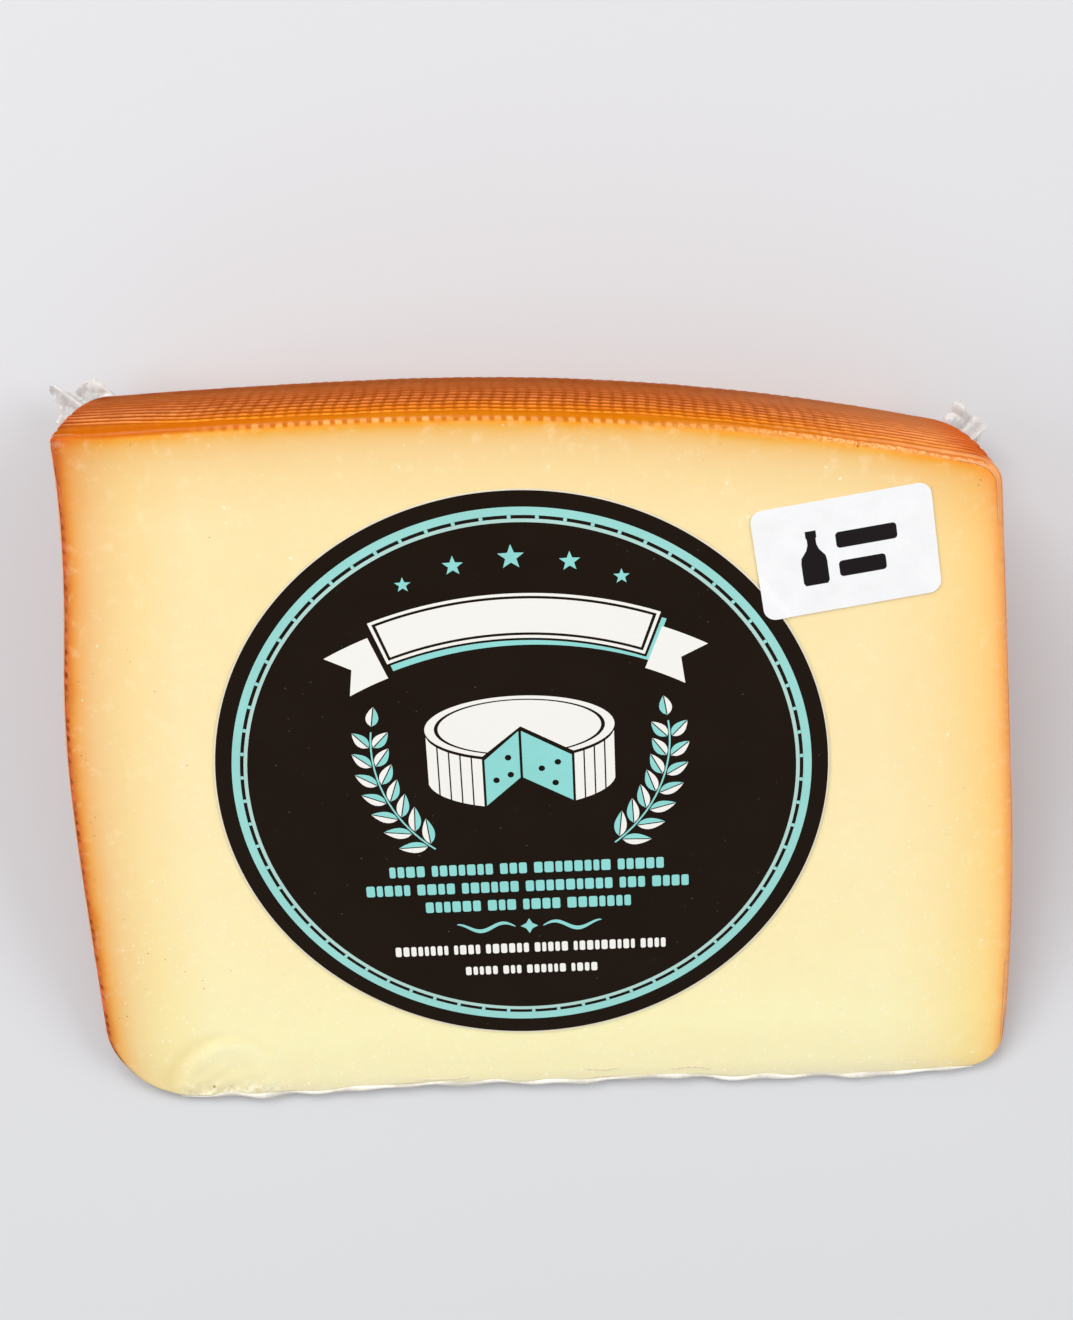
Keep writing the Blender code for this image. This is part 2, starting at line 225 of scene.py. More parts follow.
def edge_rounding(loop):
    """Rounding of the edge at each outline point: less at the thin nose and the tight corner."""
    corner = np.array([float(left_wall(RIM_RADIUS)), float(rim(left_wall(RIM_RADIUS)))])
    nearness = smooth(1.0 - np.linalg.norm(loop - corner, axis=1) / TIGHT_REACH)
    rounding = EDGE_ROUND + (EDGE_ROUND_TIGHT - EDGE_ROUND) * nearness
    return np.minimum(rounding, EDGE_ROUND_SHARE * WEDGE_ANGLE * loop[:, 1])


def place(x, radius, angle, lift=0.0):
    """World points of wheel coordinates, lifted square to the radius."""
    y = radius * np.cos(angle) - lift * np.sin(angle)
    z = radius * np.sin(angle) + lift * np.cos(angle)
    return np.stack(np.broadcast_arrays(x + AXIS_X, y + AXIS_Y, z), axis=-1)


# Relief

def pulse(share, duty, soft):
    """1 on a pad and 0 in the groove between pads, once per whole number of share."""
    off_centre = np.abs(share - np.floor(share) - 0.5) * 2.0
    return smooth((duty - off_centre) / soft)


def window(value, start, end, soft):
    """1 between start and end and 0 outside them."""
    return smooth((value - start) / soft + 0.5) * smooth((end - value) / soft + 0.5)


def scatter(column, row):
    """Repeatable chance from 0 to 1 for each whole column and row."""
    chance = np.sin(12.9898 * np.floor(column) + 78.233 * np.floor(row)) * 43758.5453
    return chance - np.floor(chance)


def print_places(x, arc):
    """Column and row numbers of the cloth print on the rim, a little bent as cloth is."""
    start = FIRST_ROW + LEFT_END_DROP * smooth((-45.0 * MM - x) / (20.0 * MM))
    start = start - RIGHT_END_RISE * smooth((x - 18.0 * MM) / (40.0 * MM))
    pitch = ROW_PITCH * (1.0 - ROW_PITCH_LOSS * smooth((x - 5.0 * MM) / (45.0 * MM)))
    column = x / PAD_PITCH_X
    row = (arc - start) / pitch
    bent_row = row + 0.05 * np.sin(0.9 * column + 0.7) + 0.04 * np.sin(0.37 * column)
    return column + 0.10 * np.sin(0.8 * row) + 0.06 * np.sin(0.45 * column + 1.0), bent_row


def cloth_print(column, row, joined):
    """Height, 0 between rows and 1 on pads; joined is the height between two pads of a row."""
    rows = pulse(row, ROW_DUTY, ROW_SOFT)
    pads = pulse(column, PAD_DUTY, PAD_SOFT) * rows
    return (0.68 + 0.32 * scatter(column, row)) * np.maximum(pads, joined * rows)


def wall_print(normal, x, radius, angle, arc):
    """Cloth print on the wall: wrapped round the rim, and flat on the wheel's two faces."""
    side = smooth((np.abs(normal[:, 0]) - 0.35) / 0.4)
    nose_fade = smooth((radius - 9.0 * MM) / (9.0 * MM))
    ribs = smooth((-38.0 * MM - x) / (22.0 * MM)) + smooth((x - 45.0 * MM) / (25.0 * MM))

    column, row = print_places(x, arc)
    stitch = pulse(column + 0.08 * np.sin(x / (5.0 * MM)), 0.74, 0.36)
    teeth = window(arc, TEETH_START, TEETH_END, 0.3 * MM)
    band = (0.28 + 0.22 * stitch) * smooth((arc - TEETH_END) / (0.2 * MM) + 0.5)
    edge = np.maximum(teeth * (0.2 + 0.8 * stitch), band) * smooth(1.0 - row / 0.35)
    on_rim = np.maximum(cloth_print(column, row, 0.75 + 0.25 * ribs) * np.where(row > 0.0, 1.0, 0.0), edge)

    spots = radius / SPOT_PITCH + 0.14 * np.sin(radius / (3.1 * MM))
    gaps = 1.0 - pulse(spots, 0.62, 0.40)
    gaps = gaps * (0.35 + 0.65 * scatter(spots + 0.5, 0.0)) * window(arc, SPOT_START, SPOT_END, 0.5 * MM)
    gaps = gaps * np.where(normal[:, 0] > 0.0, 0.3, 1.0)
    near_edge = smooth((3.3 * MM - arc) / (0.8 * MM))
    on_side = cloth_print(radius * np.cos(angle) / PAD_PITCH_X, radius * np.sin(angle) / ROW_PITCH, 0.30)
    on_side = on_side * (1.0 - near_edge) + (0.9 - gaps) * near_edge
    return np.clip((on_rim * (1.0 - side) + on_side * side) * nose_fade, 0.0, 1.0)


def crag_relief(x, radius):
    """Lip, groove and lumps of the pressed spot, above the flat cut face."""
    reach = np.hypot((x - CRAG_X) / CRAG_REACH_X, (radius - CRAG_RADIUS) / CRAG_REACH_RADIUS)
    turn = np.arctan2(radius - CRAG_RADIUS, x - CRAG_X)
    reach = reach + 0.05 * np.sin(3.0 * turn + 0.6) + 0.025 * np.sin(7.0 * turn)
    open_right = smooth((0.75 - np.cos(turn)) / 0.9)
    groove = -0.09 * MM * np.exp(-((reach - 1.04) / 0.08) ** 2) * open_right
    lip = 0.17 * MM * np.exp(-((reach - 0.80) / 0.15) ** 2) * (0.2 + 0.8 * open_right)
    hollow = -0.05 * MM * smooth((0.62 - reach) / 0.4)
    fades = smooth((1.1 - reach) / 0.5) * (0.5 + 0.9 * smooth((6.5 * MM - radius) / (2.5 * MM)))
    lumps = 0.13 * MM * np.sin(0.9 * x / MM + 1.3 * np.sin(0.5 * radius / MM)) * fades
    lumps = lumps * np.sin(1.2 * radius / MM + 1.1 * np.sin(0.6 * x / MM))
    limit = 0.3 * radius * WEDGE_ANGLE
    return np.clip(groove + lip + hollow + lumps, -limit, limit)


# Meshes

def add_object(name, mesh, material, node):
    """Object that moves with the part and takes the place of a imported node."""
    made = bpy.data.objects.new(name, mesh)
    bpy.context.scene.collection.objects.link(made)
    made.data.materials.append(material)
    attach(made, "root")
    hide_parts(node)


def mesh_from_builder(name, builder):
    mesh = bpy.data.meshes.new(name)
    builder.to_mesh(mesh)
    builder.free()
    return mesh


def mesh_from_grid(name, points, values):
    """Smooth closed mesh from rings of points, with vertex values carried as named attributes."""
    rings, count = points.shape[:2]
    index = np.arange(rings * count).reshape(rings, count)
    right = np.roll(index, -1, axis=1)
    quads = np.stack([index[:-1], right[:-1], right[1:], index[1:]], axis=-1).reshape(-1, 4)
    faces = quads[:, ::-1].tolist()
    middles = [points[:1].mean(axis=1), points[-1:].mean(axis=1)]
    vertices = np.concatenate([points.reshape(-1, 3)] + middles)
    first, last = rings * count, rings * count + 1
    faces += [(first, a, b) for a, b in zip(index[0].tolist(), right[0].tolist())]
    faces += [(last, b, a) for a, b in zip(index[-1].tolist(), right[-1].tolist())]
    mesh = bpy.data.meshes.new(name)
    mesh.from_pydata(vertices.tolist(), [], faces)
    for key, value in values.items():
        flat = np.broadcast_to(value, (rings, count)).reshape(-1)
        flat = np.concatenate([flat, [np.mean(flat[:count]), np.mean(flat[-count:])]])
        attribute = mesh.attributes.new(key, "FLOAT", "POINT")
        attribute.data.foreach_set("value", flat.astype(np.float32))
    mesh.update()
    mesh.shade_smooth()
    return mesh


def wedge_surface(loop, face_drop, wall_rows, edge_steps, inner_shares, groove_depth, inset):
    """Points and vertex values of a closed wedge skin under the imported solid's own skin."""
    normal = outward(loop)
    inner_loop = loop - normal * inset
    rounding = edge_rounding(loop)
    flat = inner_loop - normal * rounding[:, None]
    centre = flat.mean(axis=0)
    quarter = np.linspace(math.pi / 2.0, 0.0, edge_steps + 1)
    points = []
    side = smooth((np.abs(normal[:, 0]) - 0.35) / 0.4)
    values = {key: [] for key in ("x_mm", "radius_mm", "print", "arc_mm", "side", "column", "row")}

    def keep(spots, angle, lift, pads, arc):
        points.append(place(spots[:, 0], spots[:, 1], angle, lift))
        values["x_mm"].append(spots[:, 0] / MM)
        values["radius_mm"].append(spots[:, 1] / MM)
        values["print"].append(np.broadcast_to(pads, len(spots)))
        values["arc_mm"].append(np.broadcast_to(arc, len(spots)) / MM)
        values["side"].append(side)
        column, row = print_places(spots[:, 0], np.broadcast_to(arc, len(spots)))
        values["column"].append(column)
        values["row"].append(row)

    for share in reversed(inner_shares):
        spots = centre + (flat - centre) * share
        keep(spots, WEDGE_ANGLE, crag_relief(spots[:, 0], spots[:, 1]) - face_drop, 0.0, -1.0 * MM)
    thickness = WEDGE_ANGLE * loop[:, 1]
    wall_arc = thickness + (math.pi - 2.0) * rounding
    rows = []
    for turn in quarter:
        back, drop = rounding * (1.0 - math.cos(turn)), rounding * (1.0 - math.sin(turn))
        rows.append((back, drop, math.sin(turn), rounding * (math.pi / 2.0 - turn)))
    for share in np.linspace(0.0, 1.0, wall_rows + 1)[1:-1]:
        drop = rounding + (thickness - 2.0 * rounding) * share
        rows.append((0.0 * rounding, drop, 0.0, drop + (math.pi / 2.0 - 1.0) * rounding))
    for turn in reversed(quarter):
        back, rise = rounding * (1.0 - math.cos(turn)), rounding * (1.0 - math.sin(turn))
        rows.append((back, thickness - rise, -math.sin(turn), wall_arc - rounding * (math.pi / 2.0 - turn)))
    for back, drop, facing, arc in rows:
        angle = WEDGE_ANGLE - drop / loop[:, 1]
        pads = wall_print(normal, loop[:, 0], loop[:, 1], angle, arc)
        depth = groove_depth * (1.0 - pads) * smooth(2.2 * (1.0 - abs(facing)))
        spots = inner_loop - normal * (back + depth)[:, None]
        lift = -face_drop * facing
        if facing > 0.0:
            lift = lift + crag_relief(spots[:, 0], spots[:, 1]) * facing
        keep(spots, angle, lift, pads, np.minimum(arc, wall_arc - arc))
    for share in inner_shares:
        spots = centre + (flat - centre) * share
        keep(spots, 0.0, face_drop, 0.0, -1.0 * MM)
    return np.array(points), {key: np.array(value) for key, value in values.items()}


# Materials

class Value:
    """Output of a shader node, with arithmetic, so that a formula reads as it is meant."""

    def __init__(self, nodes, socket):
        self.nodes = nodes
        self.socket = socket

    def __add__(self, other):
        return self.nodes.math("ADD", self, other)

    def __sub__(self, other):
        return self.nodes.math("SUBTRACT", self, other)

    def __rsub__(self, other):
        return self.nodes.math("SUBTRACT", other, self)

    def __mul__(self, other):
        return self.nodes.math("MULTIPLY", self, other)

    def __truediv__(self, other):
        return self.nodes.math("DIVIDE", self, other)


class Nodes:
    """Small helper that adds linked nodes to one material."""

    def __init__(self, name):
        self.material = bpy.data.materials.new(name)
        self.material.use_nodes = True
        self.tree = self.material.node_tree
        self.shader = self.tree.nodes["Principled BSDF"]

    def node(self, kind, **settings):
        made = self.tree.nodes.new(kind)
        for key, value in settings.items():
            setattr(made, key, value)
        return made

    def put(self, socket, value):
        if isinstance(value, Value):
            self.tree.links.new(value.socket, socket)
        else:
            socket.default_value = value

    def math(self, operation, first, second=0.0):
        made = self.node("ShaderNodeMath", operation=operation)
        self.put(made.inputs[0], first)
        self.put(made.inputs[1], second)
        return Value(self, made.outputs[0])

    def fit(self, value, low, high, to_low=0.0, to_high=1.0, kind="LINEAR"):
        made = self.node("ShaderNodeMapRange", clamp=True, interpolation_type=kind)
        for socket, item in zip(made.inputs, (value, low, high, to_low, to_high)):
            self.put(socket, item)
        return Value(self, made.outputs[0])

    def pulse(self, value, duty, soft):
        """The same as the function pulse, for a node value."""
        off_centre = self.math("ABSOLUTE", self.math("FRACT", value) - 0.5) * 2.0
        return self.fit(off_centre, duty - soft, duty, 1.0, 0.0, "SMOOTHSTEP")

    def cell(self, first, second):
        """Point from two values, for a texture that isn't drawn at the object's own place."""
        made = self.node("ShaderNodeCombineXYZ")
        self.put(made.inputs[0], first)
        self.put(made.inputs[1], second)
        return Value(self, made.outputs[0])

    def chance(self, first, second):
        """A random value for each whole number of two node values."""
        made = self.node("ShaderNodeTexWhiteNoise", noise_dimensions="3D")
        self.put(made.inputs["Vector"], self.cell(self.math("FLOOR", first), self.math("FLOOR", second)))
        return Value(self, made.outputs["Value"])

    def mix(self, share, first, second, blend="MIX"):
        made = self.node("ShaderNodeMix", data_type="RGBA", blend_type=blend)
        self.put(made.inputs[0], share)
        self.put(made.inputs[6], first if isinstance(first, Value) else (*first, 1.0))
        self.put(made.inputs[7], second if isinstance(second, Value) else (*second, 1.0))
        return Value(self, made.outputs[2])

    def blend(self, share, first, second):
        """Blend of two values."""
        made = self.node("ShaderNodeMix", data_type="FLOAT")
        self.put(made.inputs[0], share)
        self.put(made.inputs[2], first)
        self.put(made.inputs[3], second)
        return Value(self, made.outputs[0])

    def ramp(self, value, stops):
        made = self.node("ShaderNodeValToRGB")
        elements = made.color_ramp.elements
        while len(elements) < len(stops):
            elements.new(0.5)
        for element, (position, colour) in zip(elements, stops):
            element.position = position
            element.color = (*colour, 1.0)
        self.put(made.inputs[0], value)
        return Value(self, made.outputs[0])

    def value(self, name):
        return Value(self, self.node("ShaderNodeAttribute", attribute_name=name).outputs["Fac"])

    def place(self):
        return Value(self, self.node("ShaderNodeTexCoord").outputs["Object"])

    def noise(self, size, detail=2.0, roughness=0.5, where=None):
        made = self.node("ShaderNodeTexNoise")
        self.put(made.inputs["Vector"], where or self.place())
        made.inputs["Scale"].default_value = 1.0 / size
        made.inputs["Detail"].default_value = detail
        made.inputs["Roughness"].default_value = roughness
        return Value(self, made.outputs["Fac"])

    def warped(self, size, reach):
        """Object position pushed about by noise, so that what is drawn there isn't regular."""
        noise = self.node("ShaderNodeTexNoise")
        self.put(noise.inputs["Vector"], self.place())
        noise.inputs["Scale"].default_value = 1.0 / size
        push = self.node("ShaderNodeVectorMath", operation="MULTIPLY_ADD")
        self.put(push.inputs[0], Value(self, noise.outputs["Color"]))
        push.inputs[1].default_value = (reach, reach, reach)
        self.put(push.inputs[2], self.place())
        return Value(self, push.outputs[0])

    def flecks(self, size, low, high, share, where=None):
        """1 on sparse flecks, one in some of the cells, and 0 between them."""
        cells = self.node("ShaderNodeTexVoronoi", feature="F1")
        self.put(cells.inputs["Vector"], where or self.place())
        cells.inputs["Scale"].default_value = 1.0 / size
        near = self.fit(Value(self, cells.outputs["Distance"]), low, high, 1.0, 0.0)
        parts = self.node("ShaderNodeSeparateColor")
        self.put(parts.inputs[0], Value(self, cells.outputs["Color"]))
        chosen = self.math("LESS_THAN", Value(self, parts.outputs[0]), share)
        return near * self.fit(Value(self, parts.outputs[1]), 0.0, 1.0, 0.35, 1.0) * chosen

    def bump(self, height, distance, shader=None):
        made = self.node("ShaderNodeBump")
        made.inputs["Strength"].default_value = 1.0
        made.inputs["Distance"].default_value = distance
        self.put(made.inputs["Height"], height)
        self.put((shader or self.shader).inputs["Normal"], Value(self, made.outputs[0]))

    def set(self, **inputs):
        for key, value in inputs.items():
            self.put(self.shader.inputs[key.replace("_", " ")], value)


def tint_ramp(nodes, distance, stops, base, reach):
    """Ramp of tints that turn the base colour into each stop's colour at its distance in mm."""
    base_colour = tone(base)
    tints = []
    for where, code in stops:
        tints.append((where / reach, tuple(c / b for c, b in zip(tone(code), base_colour))))
    tints.append((1.0, (1.0, 1.0, 1.0)))
    return nodes.ramp(distance / reach, tints)


# Colours of the paste: by share of the way from the sharp edge to the rim, and beside each wall
# by distance from the rind in mm
PASTE_REACH = 130.0
PASTE_STOPS = (
    (0.0, "dcd5b8"), (0.022, "e4dab6"), (0.05, "f4eaba"), (0.12, "faf0bd"), (0.25, "fcebb7"),
    (0.5, "fbe5b2"), (0.8, "fbe2ad"), (1.0, "f9dfa9"),
)
LEFT_STOPS = (
    (0.0, "a44c1c"), (1.0, "c4681f"), (1.6, "da822e"), (2.2, "e79c49"), (3.0, "ecae63"),
    (4.0, "eeba78"), (5.5, "f0c78a"), (8.0, "f3d295"), (12.0, "f8dca0"),
)
RIGHT_STOPS = (
    (0.0, "de9550"), (1.0, "f2a75a"), (1.6, "f9b262"), (2.3, "fbc175"), (3.2, "fcca7d"),
    (4.5, "fcd186"), (6.0, "fbd58e"), (9.0, "fbda99"), (13.0, "fcdfa5"),
)
RIM_STOPS = (
    (0.0, "de7c0a"), (1.0, "e48c18"), (1.6, "eba234"), (2.2, "eeb356"), (3.0, "f0bf73"),
    (4.0, "f1c785"), (6.0, "f3d195"), (9.0, "f6d99f"),
)

# Pale flecks in the paste: cell size, inner and outer reach, share of cells, strength
FLECKS = (
    (2.9 * MM, 0.03, 0.11, 0.45, 0.60),
    (1.7 * MM, 0.04, 0.18, 0.85, 0.90),
    (1.1 * MM, 0.06, 0.26, 0.90, 0.80),
)

# Painted highlight on the dome and painted shade on the arc of the pressed spot, as colour factors from its
# middle to 1.3 times its reach
CRAG_PAINTED_LIGHT = (
    (0.0, (1.0, 0.985, 0.94)), (0.38, (1.0, 0.995, 0.975)), (0.52, (1.01, 1.02, 1.04)),
    (0.64, (1.01, 1.02, 1.06)), (0.74, (0.98, 0.965, 0.94)), (0.81, (0.96, 0.935, 0.875)),
    (0.90, (0.985, 0.97, 0.95)), (1.0, (1.0, 1.0, 1.0)),
)

# Colours of the rind in the thread grooves and on the pads, by share of the depth below the cut. The pads'
# light tops are partly the cloth print and partly painted highlight, and the darkening far below the cut is
# partly painted shade
RIND_DEPTH = 30.0
GROOVE_STOPS = (
    (0.0, "cc6f04"), (0.057, "bf6500"), (0.085, "bb5f00"), (0.107, "ba5c00"), (0.157, "ae5000"),
    (0.227, "a04600"), (0.297, "944000"), (0.383, "8b3b03"), (0.5, "8c3c06"), (0.633, "923f0c"),
    (0.783, "934313"), (1.0, "843b10"),
)
CROWN_STOPS = (
    (0.0, "f0af60"), (0.034, "ecaf67"), (0.05, "cc7a11"), (0.077, "cd7604"), (0.107, "f89d2b"),
    (0.157, "f28e20"), (0.227, "ef8b30"), (0.297, "e9873b"), (0.383, "df7c3b"), (0.5, "cc6f34"),
    (0.633, "b76531"), (0.783, "ab5f2f"), (1.0, "975429"),
)


def coloured(stops):
    return [(stop, tone(code)) for stop, code in stops]


def rind_distances(nodes, x, radius):
    """Distances in mm from the left wall, the right wall and the rim, by the outline's formulas."""
    swing = nodes.math("TANH", (radius - LEFT_SWING_RADIUS / MM) / (LEFT_SWING_LENGTH / MM))
    from_left = x - (swing * (LEFT_SWING / MM) + LEFT_MIDDLE_X / MM)
    bend = nodes.math("EXPONENT", (radius - RIGHT_BEND_RADIUS / MM) / (RIGHT_BEND_LENGTH / MM))
    bend = nodes.math("LOGARITHM", bend + 1.0, math.e)
    right_x = RIGHT_WIDEST_X / MM - bend * (RIGHT_SLOPE * RIGHT_BEND_LENGTH / MM)
    past_top = x - RIM_TOP_X / MM
    fall = nodes.fit(past_top, -0.1, 0.1, RIM_FALL_LEFT * MM, RIM_FALL_RIGHT * MM)
    from_rim = RIM_RADIUS / MM - past_top * past_top * fall - radius
    return from_left, right_x - x, from_rim


def paste_colour(nodes, x, radius, wobble):
    """Colour of the cut face: pale paste, darker beside the rind, with mottling and crystals."""
    from_left, from_right, from_rim = rind_distances(nodes, x, radius)
    paste = nodes.ramp(radius / PASTE_REACH, coloured(PASTE_STOPS))
    for distance, bend, stops, base, reach in (
            (from_left, 0.3, LEFT_STOPS, "fbe5b2", 20.0),
            (from_right, 0.3, RIGHT_STOPS, "fbe5b2", 22.0),
            (from_rim, 0.35, RIM_STOPS, "fbe2ad", 16.0)):
        tint = tint_ramp(nodes, distance + wobble * bend, stops, base, reach)
        paste = nodes.mix(1.0, paste, tint, "MULTIPLY")
    mottle = nodes.fit(nodes.noise(9.0 * MM, 3.0, 0.6), 0.3, 0.7, 0.0, 0.10)
    paste = nodes.mix(mottle, paste, tone("e9cf96"))
    smears = nodes.fit(nodes.noise(2.6 * MM, 4.0, 0.65), 0.55, 0.75, 0.0, 0.22)
    paste = nodes.mix(smears, paste, tone("fff6cf"))
    bent = nodes.warped(0.9 * MM, 0.9 * MM)
    often = nodes.fit(radius, 14.0, 80.0, 1.0, 0.05, "SMOOTHSTEP")
    often = often * nodes.fit(nodes.noise(11.0 * MM), 0.35, 0.65, 0.35, 1.0)
    often = often * nodes.fit(nodes.math("MINIMUM", from_left, from_right), 2.5, 14.0)
    flecks = 0.0
    for size, low, high, share, weight in FLECKS:
        layer = nodes.flecks(size, low, high, often * share, bent)
        flecks = nodes.math("MAXIMUM", flecks, layer * weight)
    return nodes.mix(flecks, paste, tone("fffbe4"))


def pressed_spot(nodes, x, radius, wobble, paste):
    """The paste with a pale dome inside a faint darker arc, above the crumbled sharp edge: painted highlight
    on the dome, painted shade on the arc, and in the crumbled part painted shade in hollows and painted
    highlight on peaks.
    """
    across = (x - CRAG_X / MM) / (CRAG_REACH_X / MM)
    above = (radius - CRAG_RADIUS / MM) / (CRAG_REACH_RADIUS / MM)
    reach = nodes.math("POWER", across * across + above * above, 0.5) + wobble * 0.085
    # Pale dome and darker arc: painted highlight and painted shade, strongest at the upper left
    spot = nodes.ramp(reach / 1.3, CRAG_PAINTED_LIGHT)
    painted_light_weight = nodes.fit(above, -0.25, 0.15) * nodes.fit(across, -0.1, 0.9, 1.0, 0.15)
    paste = nodes.mix(painted_light_weight, paste, nodes.mix(1.0, paste, spot, "MULTIPLY"))
    crumbled = nodes.fit(reach, 0.75, 1.05, 1.0, 0.0) * nodes.fit(radius, 4.0, 7.5, 1.0, 0.0)
    # Darker blotches in the crumbled part: painted shade in its hollows
    painted_hollow_shade = nodes.fit(nodes.noise(1.5 * MM, 2.0), 0.50, 0.62, 0.0, 0.45)
    paste = nodes.mix(crumbled * painted_hollow_shade, paste, tone("cdbb84"))
    # Paler blotches there: painted highlight on its peaks
    painted_peak_highlight = nodes.fit(nodes.noise(1.1 * MM, 2.0), 0.52, 0.64, 0.0, 0.6)
    return nodes.mix(crumbled * painted_peak_highlight, paste, tone("fffbe0"))


def pad_share(nodes, x, arc, side, wobble):
    """Cloth print, 0 in the grooves to 1 on the pads, which fade out below and join at the ends."""
    column, row = nodes.value("column"), nodes.value("row")
    left_ribs = nodes.fit(x, -60.0, -38.0, 0.5, 0.0, "SMOOTHSTEP")
    ribs = left_ribs + nodes.fit(x, 45.0, 70.0, 0.0, 0.5, "SMOOTHSTEP")
    between = ribs + nodes.fit(x, 15.0, 45.0, 0.45, 0.65)
    stripes = nodes.math("MAXIMUM", nodes.pulse(column, PAD_DUTY, PAD_SOFT), between)
    pads = nodes.pulse(row, ROW_DUTY, ROW_SOFT) * stripes
    pads = pads * nodes.fit(nodes.chance(column, row), 0.0, 1.0, 0.62, 1.0)
    down_the_wall = nodes.cell(column * 1.6, arc * 0.10)
    streaks = nodes.fit(nodes.noise(1.0, 3.0, 0.6, down_the_wall), 0.35, 0.65, 0.25, 0.75)
    deep = nodes.fit(arc + wobble * 2.2 - ribs * 18.0, 15.0, 26.0, 0.0, 0.85)
    pads = nodes.blend(deep, pads, streaks)

    # Pale teeth and a dark band over the first row, right at the cut
    teeth = nodes.pulse(column, 0.74, 0.36) * nodes.fit(x, -50.0, -38.0)
    teeth = teeth * nodes.fit(nodes.chance(column, 0.0), 0.0, 1.0, 0.45, 1.0)
    lumps = nodes.fit(nodes.noise(0.45 * MM, 2.0, 0.6), 0.40, 0.58, 0.25, 1.0)
    teeth = nodes.blend(nodes.fit(x, 12.0, 44.0), teeth, lumps)
    in_band = nodes.fit(streaks, 0.0, 1.0, 0.30, 0.65) - left_ribs * 0.6
    in_band = in_band - nodes.fit(x, 45.0, 60.0, 0.0, 0.25)
    edge = nodes.blend(nodes.fit(arc, TEETH_END / MM - 0.15, TEETH_END / MM + 0.15), teeth, in_band)
    pads = nodes.blend(nodes.fit(row, -0.05, 0.05), edge, pads)
    return nodes.blend(side, pads, nodes.fit(nodes.value("print"), 0.12, 0.80))


def rind_colour(nodes, x, arc, side, wobble):
    """Colour of the rim and the wheel's flat faces, by depth below the cut and place along it."""
    share = pad_share(nodes, x, arc, side, wobble)
    depth = (arc + wobble * 0.3) / RIND_DEPTH
    groove = nodes.ramp(depth, coloured(GROOVE_STOPS))
    crown = nodes.ramp(depth, coloured(CROWN_STOPS))
    left_end = nodes.fit(x, -58.0, -34.0, 0.5, 0.0) * nodes.fit(depth, 0.13, 0.19)
    ends = left_end + nodes.fit(x, 34.0, 60.0, 0.0, 0.5)
    crown = nodes.mix(ends * nodes.fit(depth, 0.28, 0.55, 1.0, 0.0), crown, tone("ee9a62"))
    right_edge = nodes.fit(x, 22.0, 52.0, 0.0, 0.9) * nodes.fit(depth, 0.050, 0.070, 1.0, 0.3)
    crown = nodes.mix(right_edge * nodes.fit(depth, 0.08, 0.10, 1.0, 0.0), crown, tone("fbb270"))
    pale_grooves = nodes.fit(x, 45.0, 65.0) * nodes.fit(depth, 0.05, 0.08, 0.7, 0.4)
    groove = nodes.mix(pale_grooves, groove, tone("c8743c"))
    patches = nodes.fit(nodes.noise(14.0 * MM, 3.0, 0.6), 0.35, 0.65, 0.0, 0.15)
    crown = nodes.mix(patches, crown, groove)
    # Light pads over dark grooves: cloth print, with painted highlight on the pads
    rind = nodes.mix(share, groove, crown)
    pale_right = nodes.fit(x, 25.0, 45.0) * nodes.fit(depth, 0.35, 0.65, 0.0, 0.15)
    rind = nodes.mix(pale_right, rind, tone("bc8464"))
    left_warmth = nodes.fit(x, -42.0, -22.0, 1.0, 0.0) * nodes.fit(depth, 0.08, 0.13, 1.0, 0.0)
    rind = nodes.mix(left_warmth, rind, nodes.mix(1.0, rind, (0.98, 0.83, 0.6), "MULTIPLY"))

    # The left and right walls and the rounding between rim and right wall; the darker left wall, where the
    # rind turns away, is painted shade
    # Painted shade: the left wall and its turned-away edge made darker
    painted_shade_left = nodes.fit(x, -69.8, -65.6, 1.0, 0.0, "SMOOTHSTEP") * nodes.fit(arc, 1.5, 6.0, 0.35, 0.9)
    painted_shade_left = nodes.math("MAXIMUM", painted_shade_left, side * nodes.fit(x, -60.0, -40.0, 0.85, 0.0))
    at_rounding = nodes.fit(x, 68.0, 73.0, 0.0, 0.85) * nodes.fit(arc, 1.5, 4.0)
    at_right = side * nodes.fit(x, 0.0, 20.0, 0.0, 0.75) * nodes.fit(arc, 3.0, 6.0, 1.0, 0.0)
    for where, in_groove, on_pad in (
            (painted_shade_left, "842e08", "be5e32"),
            (at_rounding, "a63a04", "c85a1c"),
            (at_right, "bd6a24", "f0a266")):
        rind = nodes.mix(where, rind, nodes.mix(share, tone(in_groove), tone(on_pad)))
    # Pinkish patches on the left wall: painted glints
    painted_glint = nodes.fit(nodes.noise(2.2 * MM, 2.0), 0.48, 0.62, 0.0, 0.7)
    painted_glint = painted_glint * (side * nodes.fit(x, -60.0, -40.0, 1.0, 0.0))
    return nodes.mix(painted_glint, rind, tone("dc7444"))


